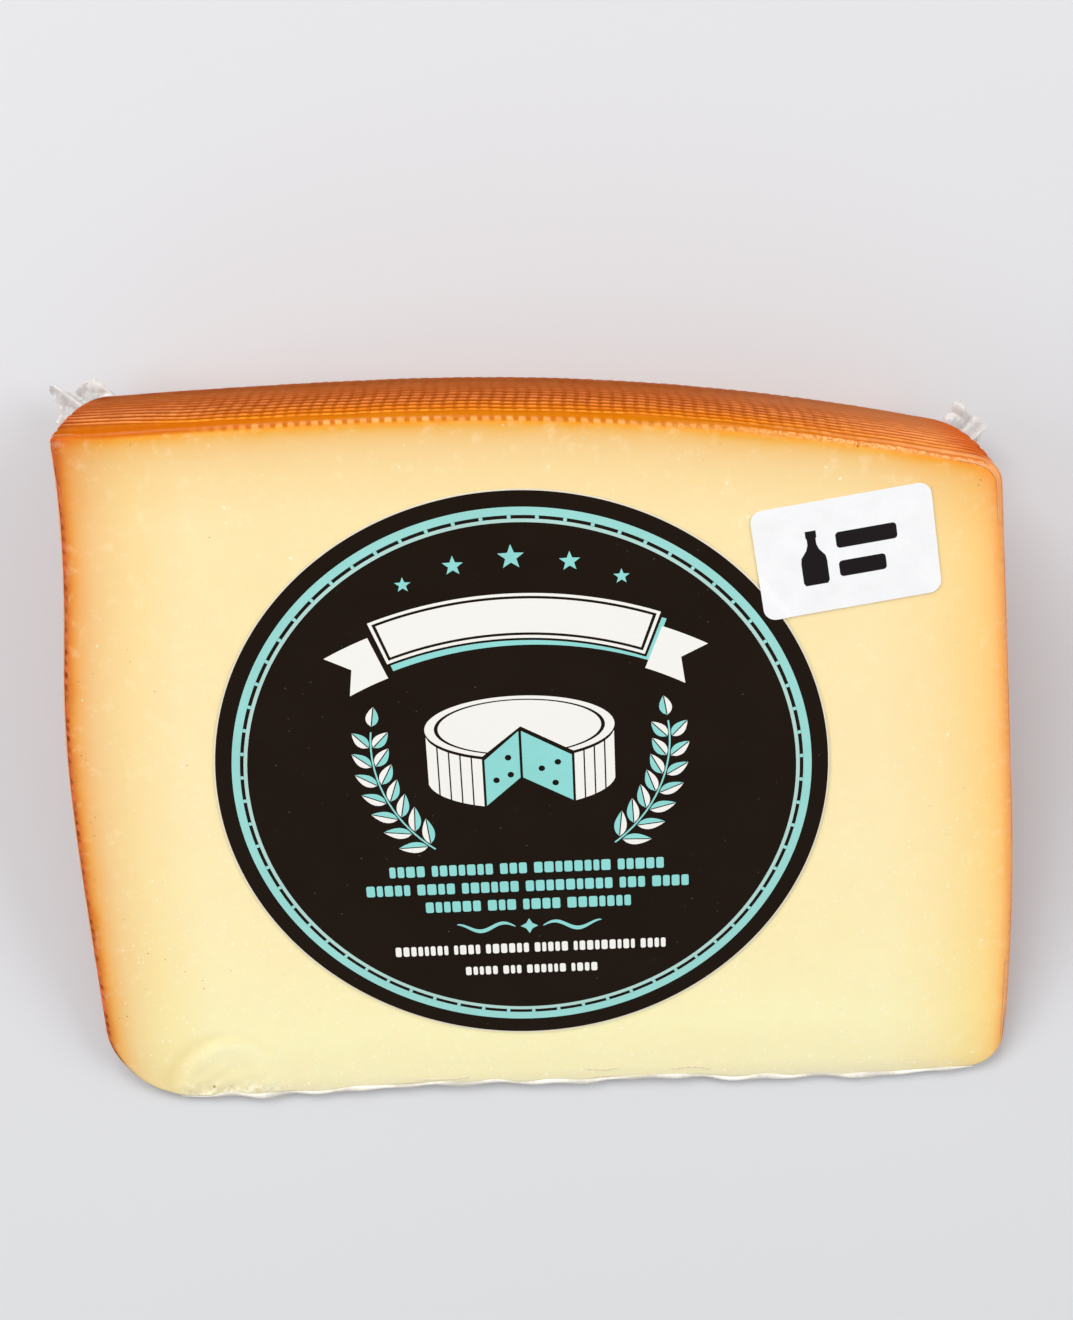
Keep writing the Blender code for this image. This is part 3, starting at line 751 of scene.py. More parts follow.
def cheese_material():
    nodes = Nodes("cheese_under_film")
    x, radius = nodes.value("x_mm"), nodes.value("radius_mm")
    arc, side = nodes.value("arc_mm"), nodes.value("side")
    wobble = (nodes.noise(6.0 * MM, 3.0) - 0.5) * 3.0
    paste = paste_colour(nodes, x, radius, wobble)
    paste = pressed_spot(nodes, x, radius, wobble, paste)
    rind = rind_colour(nodes, x, arc, side, wobble)
    fringe = arc + wobble * 0.12 - side * nodes.fit(x, -20.0, 20.0, 0.15, 0.55)
    on_wall = nodes.fit(fringe, 0.40, 0.95)
    past_sharp_edge = nodes.fit(radius, 6.0, 12.0)
    surface = nodes.mix(on_wall * past_sharp_edge, paste, rind)
    through = nodes.fit(on_wall, 0.0, 1.0, 0.25, 0.02)
    nodes.set(Base_Color=surface, Roughness=0.42, Subsurface_Weight=through, Subsurface_Scale=1.0,
              Subsurface_Radius=(1.6 * MM, 1.0 * MM, 0.5 * MM), Specular_IOR_Level=0.0)
    nodes.bump(nodes.noise(0.7 * MM, 3.0), 0.04 * MM)
    return nodes.material


def film_material():
    """Clear film: see-through, with a gloss that grows at grazing angles."""
    nodes = Nodes("clear_film")
    gloss = nodes.node("ShaderNodeBsdfGlossy")
    gloss.inputs["Roughness"].default_value = 0.16
    clear = nodes.node("ShaderNodeBsdfTransparent")
    facing = Value(nodes, nodes.node("ShaderNodeLayerWeight").outputs["Facing"])
    nodes.bump(nodes.noise(5.0 * MM, 3.0, 0.6), 0.05 * MM, gloss)
    both = nodes.node("ShaderNodeMixShader")
    nodes.put(both.inputs[0], nodes.math("POWER", facing, 45.0) * FILM_LIMB_GLOSS + FILM_GLOSS)
    nodes.put(both.inputs[1], Value(nodes, clear.outputs[0]))
    nodes.put(both.inputs[2], Value(nodes, gloss.outputs[0]))
    output = nodes.tree.nodes["Material Output"]
    nodes.put(output.inputs["Surface"], Value(nodes, both.outputs[0]))
    nodes.tree.nodes.remove(nodes.shader)
    return nodes.material


def gathered_film_material(name, colour, least, most):
    """Gathered film: layers that scatter white, clearer between the folds, with painted shade greying the
    clearer parts.
    """
    nodes = Nodes(name)
    streaks = nodes.fit(nodes.noise(0.9 * MM, 3.0, 0.6), 0.35, 0.7, -0.12, 0.12)
    cover = nodes.fit(nodes.value("fold") + streaks, 0.15, 0.85, least, most)
    # Greyer where the film is thinner: painted shade
    shade = nodes.mix(cover, tuple(0.72 * part for part in tone(colour)), tone(colour))
    nodes.set(Base_Color=shade, Roughness=0.24, Alpha=cover, Specular_IOR_Level=0.45)
    nodes.bump(nodes.noise(0.5 * MM, 3.0, 0.6), 0.05 * MM)
    return nodes.material


def paper_material(name, colour, rough=0.6):
    nodes = Nodes(name)
    plain = tone(colour)
    fibres = nodes.noise(0.35 * MM, 3.0)
    clouds = nodes.fit(nodes.noise(5.0 * MM, 3.0, 0.6), 0.35, 0.7, 0.0, 0.5)
    shade = nodes.mix(clouds, plain, tuple(0.90 * part for part in plain))
    flecked = nodes.fit(fibres, 0.5, 0.75, 0.0, 0.25)
    shade = nodes.mix(flecked, shade, tuple(0.86 * part for part in plain))
    nodes.set(Base_Color=shade, Roughness=rough, Specular_IOR_Level=0.3)
    nodes.bump(fibres, 0.02 * MM)
    return nodes.material


def ink_material(name, colour, rough, speck_share=0.0, worn=0.15):
    """Printed ink with slight unevenness and, where asked, sparse pale dust."""
    nodes = Nodes(name)
    clouds = nodes.noise(11.0 * MM, 3.0, 0.6)
    lighter = tuple(min(1.0, 1.6 * part + 0.004) for part in tone(colour))
    base = nodes.mix(nodes.fit(clouds, 0.3, 0.7, 0.0, worn), tone(colour), lighter)
    if speck_share > 0.0:
        dust = nodes.flecks(1.4 * MM, 0.03, 0.11, speck_share)
        base = nodes.mix(dust * 0.30, base, tone("a89c90"))
    roughness = nodes.fit(clouds, 0.3, 0.7, rough - 0.05, rough + 0.06)
    nodes.set(Base_Color=base, Roughness=roughness, Specular_IOR_Level=0.10)
    nodes.bump(nodes.noise(1.1 * MM, 2.0), 0.01 * MM)
    return nodes.material


# Cheese and film

# Rings of the cut faces, by share of the way from the middle to the edge
TOP_SHARES = [1.0 - k for k in (0.004, 0.010, 0.018)] + [1.0 - 0.015 * k for k in range(2, 20)]
TOP_SHARES += [0.64, 0.55, 0.4, 0.2]


def build_cheese():
    step = 1.0
    steps = (0.8 * MM * step, 0.5 * MM * step, 0.4 * MM * step)
    loop = cut_face_outline(*steps, (14, 16, 12, 24), CHEESE_NOSE_GAP)
    rows = 168
    skin = wedge_surface(loop, 0.10 * MM, rows, 6, TOP_SHARES, THREAD_DEPTH, CHEESE_INSET)
    mesh = mesh_from_grid("cheese", *skin)
    add_object("cheese", mesh, cheese_material(), "cheese_in_film")


def build_film():
    step = 1.0
    loop = cut_face_outline(0.9 * MM * step, 0.8 * MM * step, 0.55 * MM * step, (12, 12, 12, 20))
    skin = wedge_surface(loop, 0.02 * MM, 84, 5, TOP_SHARES, FILM_SAG, FILM_INSET)
    mesh = mesh_from_grid("film", *skin)
    add_object("film", mesh, film_material(), "cheese_in_film")


# Bag corners

EAR_HEIGHT = 8.0 * MM
EAR_START = 0.30
LEFT_EAR_ROOT = ((-68.0, 118.5), (-64.8, 124.0))
LEFT_EAR_EDGE = (
    (-79.7, 124.2), (-79.5, 125.1), (-79.0, 126.4), (-80.1, 128.5), (-80.8, 129.9), (-80.4, 130.8),
    (-79.7, 131.0), (-79.1, 130.2), (-78.0, 129.8), (-76.8, 129.6), (-75.2, 130.7), (-73.8, 131.4),
    (-72.6, 131.5), (-71.5, 131.2), (-70.9, 130.3), (-69.8, 129.3),
)
LEFT_EAR_RIDGES = ((0.02, 0.07, 0.9), (0.36, 0.07, 1.5), (0.60, 0.05, -0.8), (0.80, 0.12, 1.7))
RIGHT_EAR_ROOT = ((74.5, 107.8), (69.8, 111.8))
RIGHT_EAR_EDGE = (
    (80.6, 113.6), (81.5, 114.1), (82.3, 114.6), (82.4, 115.5), (82.8, 115.9), (83.3, 116.6),
    (83.2, 117.3), (82.4, 117.4), (82.2, 118.3), (81.6, 119.0), (80.3, 119.1), (79.8, 119.9),
    (79.3, 121.1), (78.5, 121.5), (77.8, 121.2), (77.3, 120.4), (77.0, 119.1), (75.8, 118.0),
)
RIGHT_EAR_RIDGES = ((0.05, 0.07, 0.8), (0.27, 0.10, 1.5), (0.49, 0.06, -0.9), (0.76, 0.12, 1.6))


def curve_through(points, steps):
    padded = np.array([points[0]] + list(points) + [points[-1]], float)
    t = np.linspace(0.0, 1.0, steps, endpoint=False)[:, None]
    spots = []
    for before, start, end, after in zip(padded, padded[1:], padded[2:], padded[3:]):
        bend = 2.0 * before - 5.0 * start + 4.0 * end - after
        twist = 3.0 * (start - end) + after - before
        spots.append(start + 0.5 * t * (end - before + t * (bend + t * twist)))
    return np.concatenate(spots + [padded[-1:]])


def crumples(spots, phase):
    """Sharp shallow creases that cross each other, as in film that was squeezed; about 0 to 1."""
    height = 0.0
    for turn, length, weight in ((0.3, 2.9, 0.40), (1.2, 2.1, 0.30), (2.3, 3.6, 0.45), (2.9, 1.5, 0.20)):
        across = spots[..., 0] * math.cos(turn) + spots[..., 1] * math.sin(turn)
        bent = across + 0.35 * np.sin(spots[..., 1] * math.cos(turn) - spots[..., 0] + phase)
        height = height + weight * np.abs(np.sin(math.pi * bent / length + phase * turn))
    return height / 1.35


def build_ear(name, root, edge, ridges, phase, material):
    """Two crumpled layers of gathered film that share one scalloped outline."""
    outline = curve_through(edge, 6)
    along = np.linspace(0.0, 1.0, len(outline))[:, None]
    start = np.array(root[0]) + (np.array(root[1]) - np.array(root[0])) * along
    shares = np.linspace(EAR_START, 1.0, 34)[None, :]
    spots = start[:, None, :] + (outline - start)[:, None, :] * shares[:, :, None]
    folds = sum(height * np.exp(-((along - centre) / width) ** 2) for centre, width, height in ridges)
    creases = crumples(spots, phase)
    height = EAR_HEIGHT / MM + 1.1 * shares * folds + 0.85 * (creases - 0.5)
    gap = 0.42 * (1.0 - 0.8 * shares ** 2) + 0.12 * creases
    upper = np.concatenate([spots, (height + gap)[:, :, None]], axis=2)
    lower = np.concatenate([spots, (height - gap)[:, :, None]], axis=2)
    shell = np.concatenate([upper, lower[:, ::-1]], axis=1) * MM
    shell[:, :, 0] += AXIS_X
    shell[:, :, 1] += AXIS_Y
    from_end = np.minimum(along, 1.0 - along)
    rim_share = np.maximum(smooth((shares - 0.90) / 0.08), smooth((0.05 - from_end) / 0.04))
    cover = np.clip(0.25 + 0.55 * np.abs(folds) + 0.5 * (1.0 - creases) ** 2 + 0.3 * rim_share, 0.0, 1.0)
    cover = np.concatenate([cover, cover[:, ::-1]], axis=1)
    mesh = mesh_from_grid(name, shell, {"fold": cover})
    add_object(name, mesh, material, "cheese_in_film")


def face_point(u, v, lift):
    """World point of label coordinates: u along the sharp end, v up the face."""
    return place(u, LABEL_CENTRE_RADIUS + v, WEDGE_ANGLE, lift)


def build_nose_lip(material):
    """Welt of gathered film along the sharp end, with small waves."""
    xs = np.linspace(-64.0 * MM, 78.0 * MM, 560)
    taper = smooth((xs - xs[0]) / (9.0 * MM)) * smooth((xs[-1] - xs) / (6.0 * MM))
    waves = (0.12 * np.sin(xs / (4.3 * MM)) + 0.10 * np.sin(xs / (1.9 * MM) + 2.0)) * MM * taper
    bulge = (0.16 * np.sin(xs / (2.9 * MM)) + 0.10 * np.sin(xs / (1.3 * MM) + 1.0)) * MM
    half_width = (0.50 * MM + 0.6 * bulge) * (0.25 + 0.75 * taper)
    middle_radius = nose(xs) + 0.60 * MM - waves
    lift = 0.62 * middle_radius * math.tan(WEDGE_ANGLE) + 0.03 * MM
    half_height = (0.34 * MM + 0.35 * lift + 0.5 * bulge) * (0.4 + 0.6 * taper)
    points = []
    for turn in np.linspace(0.0, 2.0 * math.pi, 17)[:-1]:
        radius = middle_radius + half_width * math.cos(turn)
        z = lift + half_height * math.sin(turn)
        points.append(np.stack([xs + AXIS_X, radius + AXIS_Y, z], axis=-1))
    grid = np.transpose(np.array(points), (1, 0, 2))
    cover = 0.55 + 0.25 * np.sin(xs / (1.7 * MM)) + 0.2 * np.sin(xs / (5.3 * MM) + 1.0)
    cover = np.broadcast_to(cover[:, None], grid.shape[:2])
    mesh = mesh_from_grid("film_lip", grid, {"fold": cover})
    add_object("film_lip", mesh, material, "cheese_in_film")


def edge_path(loop, arc):
    """Points and outward directions at a distance over the upper edge, for each outline point."""
    normal = outward(loop)
    rounding = edge_rounding(loop)
    turn = np.maximum(math.pi / 2.0 - arc / rounding, 0.0)
    back, drop = rounding * (1.0 - np.cos(turn)), rounding * (1.0 - np.sin(turn))
    drop = drop + np.maximum(arc - rounding * math.pi / 2.0, 0.0)
    angle = WEDGE_ANGLE - drop / loop[:, 1]
    spots = loop - normal * back[:, None]
    facing = np.stack([normal[:, 0] * np.cos(turn),
                       normal[:, 1] * np.cos(turn) * np.cos(angle) - np.sin(turn) * np.sin(angle),
                       normal[:, 1] * np.cos(turn) * np.sin(angle) + np.sin(turn) * np.cos(angle)], axis=1)
    return place(spots[:, 0], spots[:, 1], angle), facing


def add_ridge(grids, spots, facing, half_width, height):
    """Ring of points round each place of a path: a low fold that stands on the film."""
    along = np.gradient(spots, axis=0)
    along /= np.linalg.norm(along, axis=1, keepdims=True)
    across = np.cross(facing, along)
    share = np.linspace(0.0, 1.0, len(spots))
    taper = smooth(share / 0.12) * smooth((1.0 - share) / 0.12)
    wave = 1.0 + 0.3 * np.sin(37.0 * share) + 0.2 * np.sin(91.0 * share + 1.0)
    width = half_width * (0.15 + 0.85 * taper) * wave
    rise = height * (0.1 + 0.9 * taper) * wave
    rings = []
    for turn in np.linspace(0.0, 2.0 * math.pi, 9)[:-1]:
        sideways = across * (width * math.cos(turn))[:, None]
        rings.append(spots + sideways + facing * (rise * math.sin(turn))[:, None])
    grids.append(np.transpose(np.array(rings), (1, 0, 2)))


def join_grids(name, grids, material):
    """One film object from several closed tubes."""
    cover = 0.8
    builder = bmesh.new()
    for grid in grids:
        part = mesh_from_grid(name, grid, {"fold": cover})
        builder.from_mesh(part)
        bpy.data.meshes.remove(part)
    mesh = mesh_from_builder(name, builder)
    mesh.shade_smooth()
    add_object(name, mesh, material, "cheese_in_film")


# Folds along the sharp end, as places in mm of the wheel frame
NOSE_FOLDS = (
    ((8.5, 6.4), (11.5, 6.0), (15.0, 6.3)),
    ((24.0, 5.6), (28.0, 5.9), (31.0, 5.3)),
    ((-22.0, 5.4), (-16.0, 5.2), (-12.0, 5.5)),
)


def face_path(points):
    path = curve_through(points, 12) * MM
    spots = place(path[:, 0], path[:, 1], WEDGE_ANGLE)
    facing = np.broadcast_to([0.0, -math.sin(WEDGE_ANGLE), math.cos(WEDGE_ANGLE)], spots.shape)
    return spots, facing


def build_film_folds():
    """Fine folds of the film along the rounded edges and over the upper right corner. The long pale ones
    along the left and right edges are a painted highlight of the film's edge; the others are creases of the
    film.
    """
    loop = cut_face_outline(1.0 * MM, 0.6 * MM, 0.6 * MM, (8, 14, 14, 20))
    x, radius = loop.T / MM
    rounding = edge_rounding(loop)
    grids = []
    # Pale ridges along the left and right edges: painted highlight of the film's edge
    for chosen, arc, half_width, height in (
            ((x < -65.5) & (radius > 26.0), 0.92 * rounding, 0.14, 0.10),
            ((x > 66.0) & (radius > 9.0), 1.20 * rounding, 0.12, 0.08),
            ((x > 68.0) & (radius > 9.0) & (radius < 27.0), 0.50 * rounding, 0.14, 0.09),
            ((x > 68.4) & (radius > 107.0), 0.42 * rounding, 0.10, 0.07)):
        spots, facing = edge_path(loop, arc)
        add_ridge(grids, spots[chosen], facing[chosen], half_width * MM, height * MM)
    join_grids("film_folds", grids, gathered_film_material("film_fold_and_highlight", "ffcc9c", 0.22, 0.55))
    grids = []
    for fold in NOSE_FOLDS:
        add_ridge(grids, *face_path(fold), 0.12 * MM, 0.06 * MM)
    material = gathered_film_material("film_nose_fold", "fff6dc", 0.25, 0.60)
    join_grids("film_nose_folds", grids, material)


# Crumbs of rind and pale grains in the paste, as places in mm of the wheel frame

DARK_CRUMBS = (
    (-62.3, 92.0), (-68.4, 88.0), (-71.0, 86.7), (-58.9, 84.4), (-72.4, 73.2), (-71.7, 72.4),
    (-71.7, 61.5), (-72.3, 58.0), (-73.3, 49.4), (-73.8, 47.5), (-63.4, 32.8), (-66.2, 34.2),
    (-60.3, 30.2), (-67.5, 26.8), (-57.4, 26.5), (-68.1, 115.8), (33.1, 122.6), (73.4, 114.9),
    (73.1, 114.1), (54.2, 121.2), (53.9, 17.1),
)
OLIVE_CRUMBS = (
    (-72.6, 60.5), (-57.5, 28.2), (-52.3, 30.0), (-71.6, 21.3), (-73.0, 20.9), (-47.0, 110.7),
    (-57.4, 126.4), (-65.2, 119.9), (61.3, 119.2), (66.0, 114.1), (-57.9, 5.4), (-74.2, 39.9),
    (-62.1, 89.9), (-55.2, 70.6), (-69.5, 41.3), (-63.6, 124.1), (30.5, 120.1), (73.5, 60.6),
    (68.0, 57.4),
)
PALE_GRAINS = (
    (-70.8, 83.3), (-63.5, 74.7), (-61.9, 48.3), (12.2, 124.5), (69.4, 92.1), (-68.4, 12.7),
    (-61.7, 9.4), (71.2, 87.3), (-54.8, 5.9), (-62.5, 6.7), (-47.2, 26.9), (-43.2, 28.8),
    (-37.5, 21.2),
)


def build_crumbs(name, places, size, colour, seed):
    """Small flat grains of irregular outline that lie in the paste, just under the film."""
    chance = np.random.default_rng(seed)
    builder = bmesh.new()
    for x, radius in places:
        stretch = 1.0 + 0.6 * chance.random()
        turn = math.pi * chance.random()
        grain = size * (0.6 + 0.7 * chance.random())
        ring = []
        for i in range(9):
            t = 2.0 * math.pi * i / 9
            reach = grain * (0.75 + 0.5 * chance.random())
            a, b = stretch * reach * math.cos(t), reach * math.sin(t) / stretch
            ring.append(turned((a, b), turn))

        def corner(a, b, lift):
            return builder.verts.new(place((x + a) * MM, (radius + b) * MM, WEDGE_ANGLE, lift * MM))

        low = [corner(a, b, -0.20) for a, b in ring]
        top = corner(0.0, 0.0, -0.035)
        bottom = corner(0.0, 0.0, -0.26)
        for first, second in zip(low, low[1:] + low[:1]):
            builder.faces.new((first, second, top))
            builder.faces.new((second, first, bottom))
    mesh = mesh_from_builder(name, builder)
    nodes = Nodes(name)
    spots = nodes.fit(nodes.noise(0.4 * MM), 0.35, 0.65)
    darker = tuple(0.6 * part for part in tone(colour))
    nodes.set(Base_Color=nodes.mix(spots, tone(colour), darker), Roughness=0.6)
    add_object(name, mesh, nodes.material, "cheese_in_film")


# Labels

def flat_shape(builder, outline, bottom, top, holes=()):
    """Thin closed plate of an outline in label coordinates, in mm, added to a mesh builder."""
    loops = [outline] + list(holes)
    edges = []
    for loop in loops:
        ring = [builder.verts.new((float(u), float(v), bottom)) for u, v in loop]
        edges += [builder.edges.new((a, b)) for a, b in zip(ring, ring[1:] + ring[:1])]
    filled = bmesh.ops.triangle_fill(builder, use_beauty=True, edges=edges, normal=(0.0, 0.0, 1.0))
    faces = [item for item in filled["geom"] if isinstance(item, bmesh.types.BMFace)]
    raised = bmesh.ops.extrude_face_region(builder, geom=faces, use_keep_orig=True)
    for item in raised["geom"]:
        if isinstance(item, bmesh.types.BMVert):
            item.co.z = top


def finish_plates(name, builder, material, node, on_face):
    """Object from plates in mm, each vertex moved onto the cut face by the function on_face."""
    bmesh.ops.recalc_face_normals(builder, faces=builder.faces)
    for vertex in builder.verts:
        vertex.co = Vector(on_face(vertex.co))
    add_object(name, mesh_from_builder(name, builder), material, node)


def on_label(spot):
    return face_point(*(spot * MM))


def circle(radius, steps=64, centre=(0.0, 0.0)):
    return [at_angle(centre, radius, 2.0 * math.pi * i / steps) for i in range(steps)]


def rounded_box(width, height, corner, centre=(0.0, 0.0), steps=6):
    points = []
    for sx, sy, start in ((1, 1, 0.0), (-1, 1, 90.0), (-1, -1, 180.0), (1, -1, 270.0)):
        middle = (centre[0] + sx * (width / 2 - corner), centre[1] + sy * (height / 2 - corner))
        for i in range(steps + 1):
            points.append(at_angle(middle, corner, math.radians(start + 90.0 * i / steps)))
    return points


# Heights of the label's layers over the cut face, in mm
LABEL_BOTTOM = 0.03
LABEL_TOP = 0.13
INK_TOP = 0.15
SHADOW_TOP = 0.165
PRINT_TOP = 0.18


def arched_band(centre, inner, outer, start, end, steps=48):
    """Outline of a band between two radii, from one angle to another in degrees."""
    turns = np.radians(np.linspace(start, end, steps))
    outside = [at_angle(centre, outer, t) for t in turns]
    return outside + [at_angle(centre, inner, t) for t in turns[::-1]]


def print_on(builder, outline, holes=()):
    flat_shape(builder, outline, INK_TOP + 0.005, PRINT_TOP, holes)


def moved(outline, du, dv):
    return [(u + du, v + dv) for u, v in outline]


def star(centre, reach, points=5, waist=0.42):
    outline = []
    for i in range(2 * points):
        size = reach if i % 2 == 0 else reach * waist
        outline.append(at_angle(centre, size, math.pi / 2.0 + math.pi * i / points))
    return outline


# Blank ribbon across the top of the label
RIBBON_CENTRE = (0.0, -34.0)
RIBBON_INNER = 59.6
RIBBON_OUTER = 67.4
RIBBON_HALF_TURN = 20.4
TAIL_DROP = 2.3
TAIL_TURN = 8.0


def draw_ribbon(white, turquoise, black):
    start, end = 90.0 - RIBBON_HALF_TURN, 90.0 + RIBBON_HALF_TURN
    body = arched_band(RIBBON_CENTRE, RIBBON_INNER, RIBBON_OUTER, start, end)
    flat_shape(turquoise, moved(body, 0.9, -1.25), INK_TOP + 0.002, INK_TOP + 0.006)
    gap = arched_band(RIBBON_CENTRE, RIBBON_INNER - 0.4, RIBBON_OUTER + 0.4, start - 0.4, end + 0.4)
    flat_shape(black, gap, INK_TOP + 0.008, SHADOW_TOP)
    middle = arched_band(RIBBON_CENTRE, RIBBON_INNER + 0.95, RIBBON_OUTER - 0.95, start + 0.9, end - 0.9)
    hole = arched_band(RIBBON_CENTRE, RIBBON_INNER + 0.5, RIBBON_OUTER - 0.5, start + 0.45, end - 0.45)
    flat_shape(white, middle, SHADOW_TOP + 0.003, PRINT_TOP)
    flat_shape(white, body, SHADOW_TOP + 0.003, PRINT_TOP, [hole])
    for side in (-1.0, 1.0):
        near = 90.0 + side * (RIBBON_HALF_TURN + 0.9)
        far = 90.0 + side * (RIBBON_HALF_TURN + TAIL_TURN)
        inner, outer = RIBBON_INNER - TAIL_DROP, RIBBON_OUTER - TAIL_DROP
        tail = arched_band(RIBBON_CENTRE, inner, outer, min(near, far), max(near, far), 10)
        notch = 90.0 + side * (RIBBON_HALF_TURN + TAIL_TURN - 2.6)
        tip = at_angle(RIBBON_CENTRE, 0.5 * (inner + outer), math.radians(notch))
        split = 10 if side > 0.0 else 20
        print_on(white, tail[:split] + [tip] + tail[split:])


# Cheese wheel with a piece cut out, in the middle of the label
WHEEL_CENTRE = (0.0, 9.6)
WHEEL_REACH = (15.6, 5.7)
WHEEL_HEIGHT = 9.4
WHEEL_CUT = (246.0, 304.0)
WHEEL_GAP = 0.55
PLANK_WIDTH = 1.9


def wheel_spot(angle, share=1.0, drop=0.0):
    t = math.radians(angle)
    return (WHEEL_CENTRE[0] + share * WHEEL_REACH[0] * math.cos(t),
            WHEEL_CENTRE[1] + share * WHEEL_REACH[1] * math.sin(t) - drop)


def draw_wheel(white, turquoise):
    round_part = np.linspace(WHEEL_CUT[1], WHEEL_CUT[0] + 360.0, 72)
    outer = [wheel_spot(a) for a in round_part]
    inner = [wheel_spot(a, 0.90) for a in round_part[::-1]]
    print_on(white, outer + inner)
    middle = (WHEEL_CENTRE[0] + 0.15, WHEEL_CENTRE[1] + 0.12)
    print_on(white, [middle] + [wheel_spot(a, 0.86) for a in round_part])

    # Upright strokes on the wheel's side, as in an engraving
    cut_from, cut_to = wheel_spot(WHEEL_CUT[0])[0], wheel_spot(WHEEL_CUT[1])[0]
    for first, last in ((-WHEEL_REACH[0], cut_from), (cut_to, WHEEL_REACH[0])):
        count = round((last - first) / PLANK_WIDTH)
        edges = np.linspace(first, last, count + 1)
        for left, right in zip(edges[:-1] + 0.12, edges[1:] - 0.12):
            tops = []
            for u in np.linspace(left, right, 5):
                share = max(0.0, 1.0 - (u / WHEEL_REACH[0]) ** 2)
                tops.append((u, WHEEL_CENTRE[1] - WHEEL_REACH[1] * math.sqrt(share) - WHEEL_GAP))
            lows = [(u, v + WHEEL_GAP - WHEEL_HEIGHT) for u, v in reversed(tops)]
            print_on(white, tops + lows)

    # The two cut faces, with small eyes
    for angle, shift, eyes in ((WHEEL_CUT[0], -0.22, ((0.35, 0.35), (0.7, 0.62), (0.3, 0.75))),
                               (WHEEL_CUT[1], 0.22, ((0.4, 0.6), (0.72, 0.3), (0.66, 0.78)))):
        middle, edge = WHEEL_CENTRE, wheel_spot(angle)
        edge = (edge[0] - math.copysign(0.3, shift), edge[1])
        face = [(middle[0] + shift, middle[1] - 0.75), (middle[0] + shift, middle[1] - WHEEL_HEIGHT),
                (edge[0], edge[1] - WHEEL_HEIGHT + 0.1), (edge[0], edge[1] - 0.75)]
        holes = []
        for along, down in eyes:
            spot = (middle[0] + (edge[0] - middle[0]) * along, middle[1] + (edge[1] - middle[1]) * along
                    - 0.75 - (WHEEL_HEIGHT - 0.75) * down)
            holes.append(circle(0.55, 14, spot))
        print_on(turquoise, face, holes)


# Sprigs at both sides of the wheel
SPRIG_CENTRE = (0.0, 6.5)
SPRIG_RADIUS = 24.6
SPRIG_TURNS = (229.0, 171.0)
LEAF_PAIRS = 7


def half_leaf(root, turn, length, width, side):
    """One half of a pointed leaf, from its root along a direction."""
    outline = [(0.0, 0.0)]
    for share in np.linspace(0.0, 1.0, 9)[1:-1]:
        outline.append((length * share, side * (0.10 + 0.5 * width * math.sin(math.pi * share ** 0.8))))
    outline.append((length, 0.0))
    middle = [(length * 0.93, side * 0.10), (length * 0.05, side * 0.10)]
    return moved([turned(spot, turn) for spot in outline + middle], *root)


def draw_sprigs(white, turquoise):
    for side in (1.0, -1.0):
        angles = np.radians(np.linspace(SPRIG_TURNS[0], SPRIG_TURNS[1], LEAF_PAIRS + 1))
        for i, t in enumerate(angles):
            root = at_angle(SPRIG_CENTRE, SPRIG_RADIUS, t)
            along = t - math.pi / 2.0
            length = 4.9 - 1.3 * i / LEAF_PAIRS
            spreads = (0.0,) if i == LEAF_PAIRS else (0.75, -0.75)
            for spread in spreads:
                start = at_angle(root, 0.38, along + 2.0 * spread)
                for half, ink in ((1.0, white), (-1.0, turquoise)):
                    leaf = half_leaf(start, along + spread, length, 1.9, half)
                    print_on(ink, [(side * u, v) for u, v in leaf])
        first, last = SPRIG_TURNS[1] + 1.5, SPRIG_TURNS[0] + 3.0
        stem = arched_band(SPRIG_CENTRE, SPRIG_RADIUS - 0.14, SPRIG_RADIUS + 0.14, first, last, 30)
        print_on(turquoise, [(side * u, v) for u, v in stem])


# Rows of small blocks in place of the words: height, block size and the blocks in each group
BLOCK_ROWS_TURQUOISE = (
    (-17.2, 2.1, 1.62, (4, 7, 3, 8, 5)),
    (-20.8, 2.1, 1.62, (5, 4, 6, 9, 3, 4)),
    (-24.4, 2.1, 1.62, (6, 3, 4, 7)),
)
BLOCK_ROWS_WHITE = (
    (-33.2, 1.9, 1.22, (8, 4, 6, 5, 9, 4)),
    (-37.6, 1.7, 1.18, (5, 3, 6, 4)),
)


def draw_block_rows(builder, rows, seed):
    chance = np.random.default_rng(seed)
    for v, height, size, groups in rows:
        spots = []
        u = 0.0
        for count in groups:
            for _ in range(count):
                width = size * (0.82 + 0.36 * chance.random()) - 0.34
                spots.append((u + width / 2.0, width))
                u += width + 0.34
            u += 0.55 * size
        span = u - 0.55 * size - 0.34
        for middle, width in spots:
            print_on(builder, rounded_box(width, height, 0.28, (middle - span / 2.0, v), 2))


def draw_flourish(builder):
    """Small diamond between two waved lines."""
    print_on(builder, star((0.0, -28.8), 1.5, 4, 0.5))
    for side in (-1.0, 1.0):
        upper, lower = [], []
        for share in np.linspace(0.0, 1.0, 30):
            u, v = side * (2.4 + 10.0 * share), -28.8 + 0.75 * math.sin(2.0 * math.pi * 1.25 * share)
            half = 0.08 + 0.30 * math.sin(math.pi * share) ** 0.7
            upper.append((u, v + half))
            lower.append((u, v - half))
        print_on(builder, upper + lower[::-1])


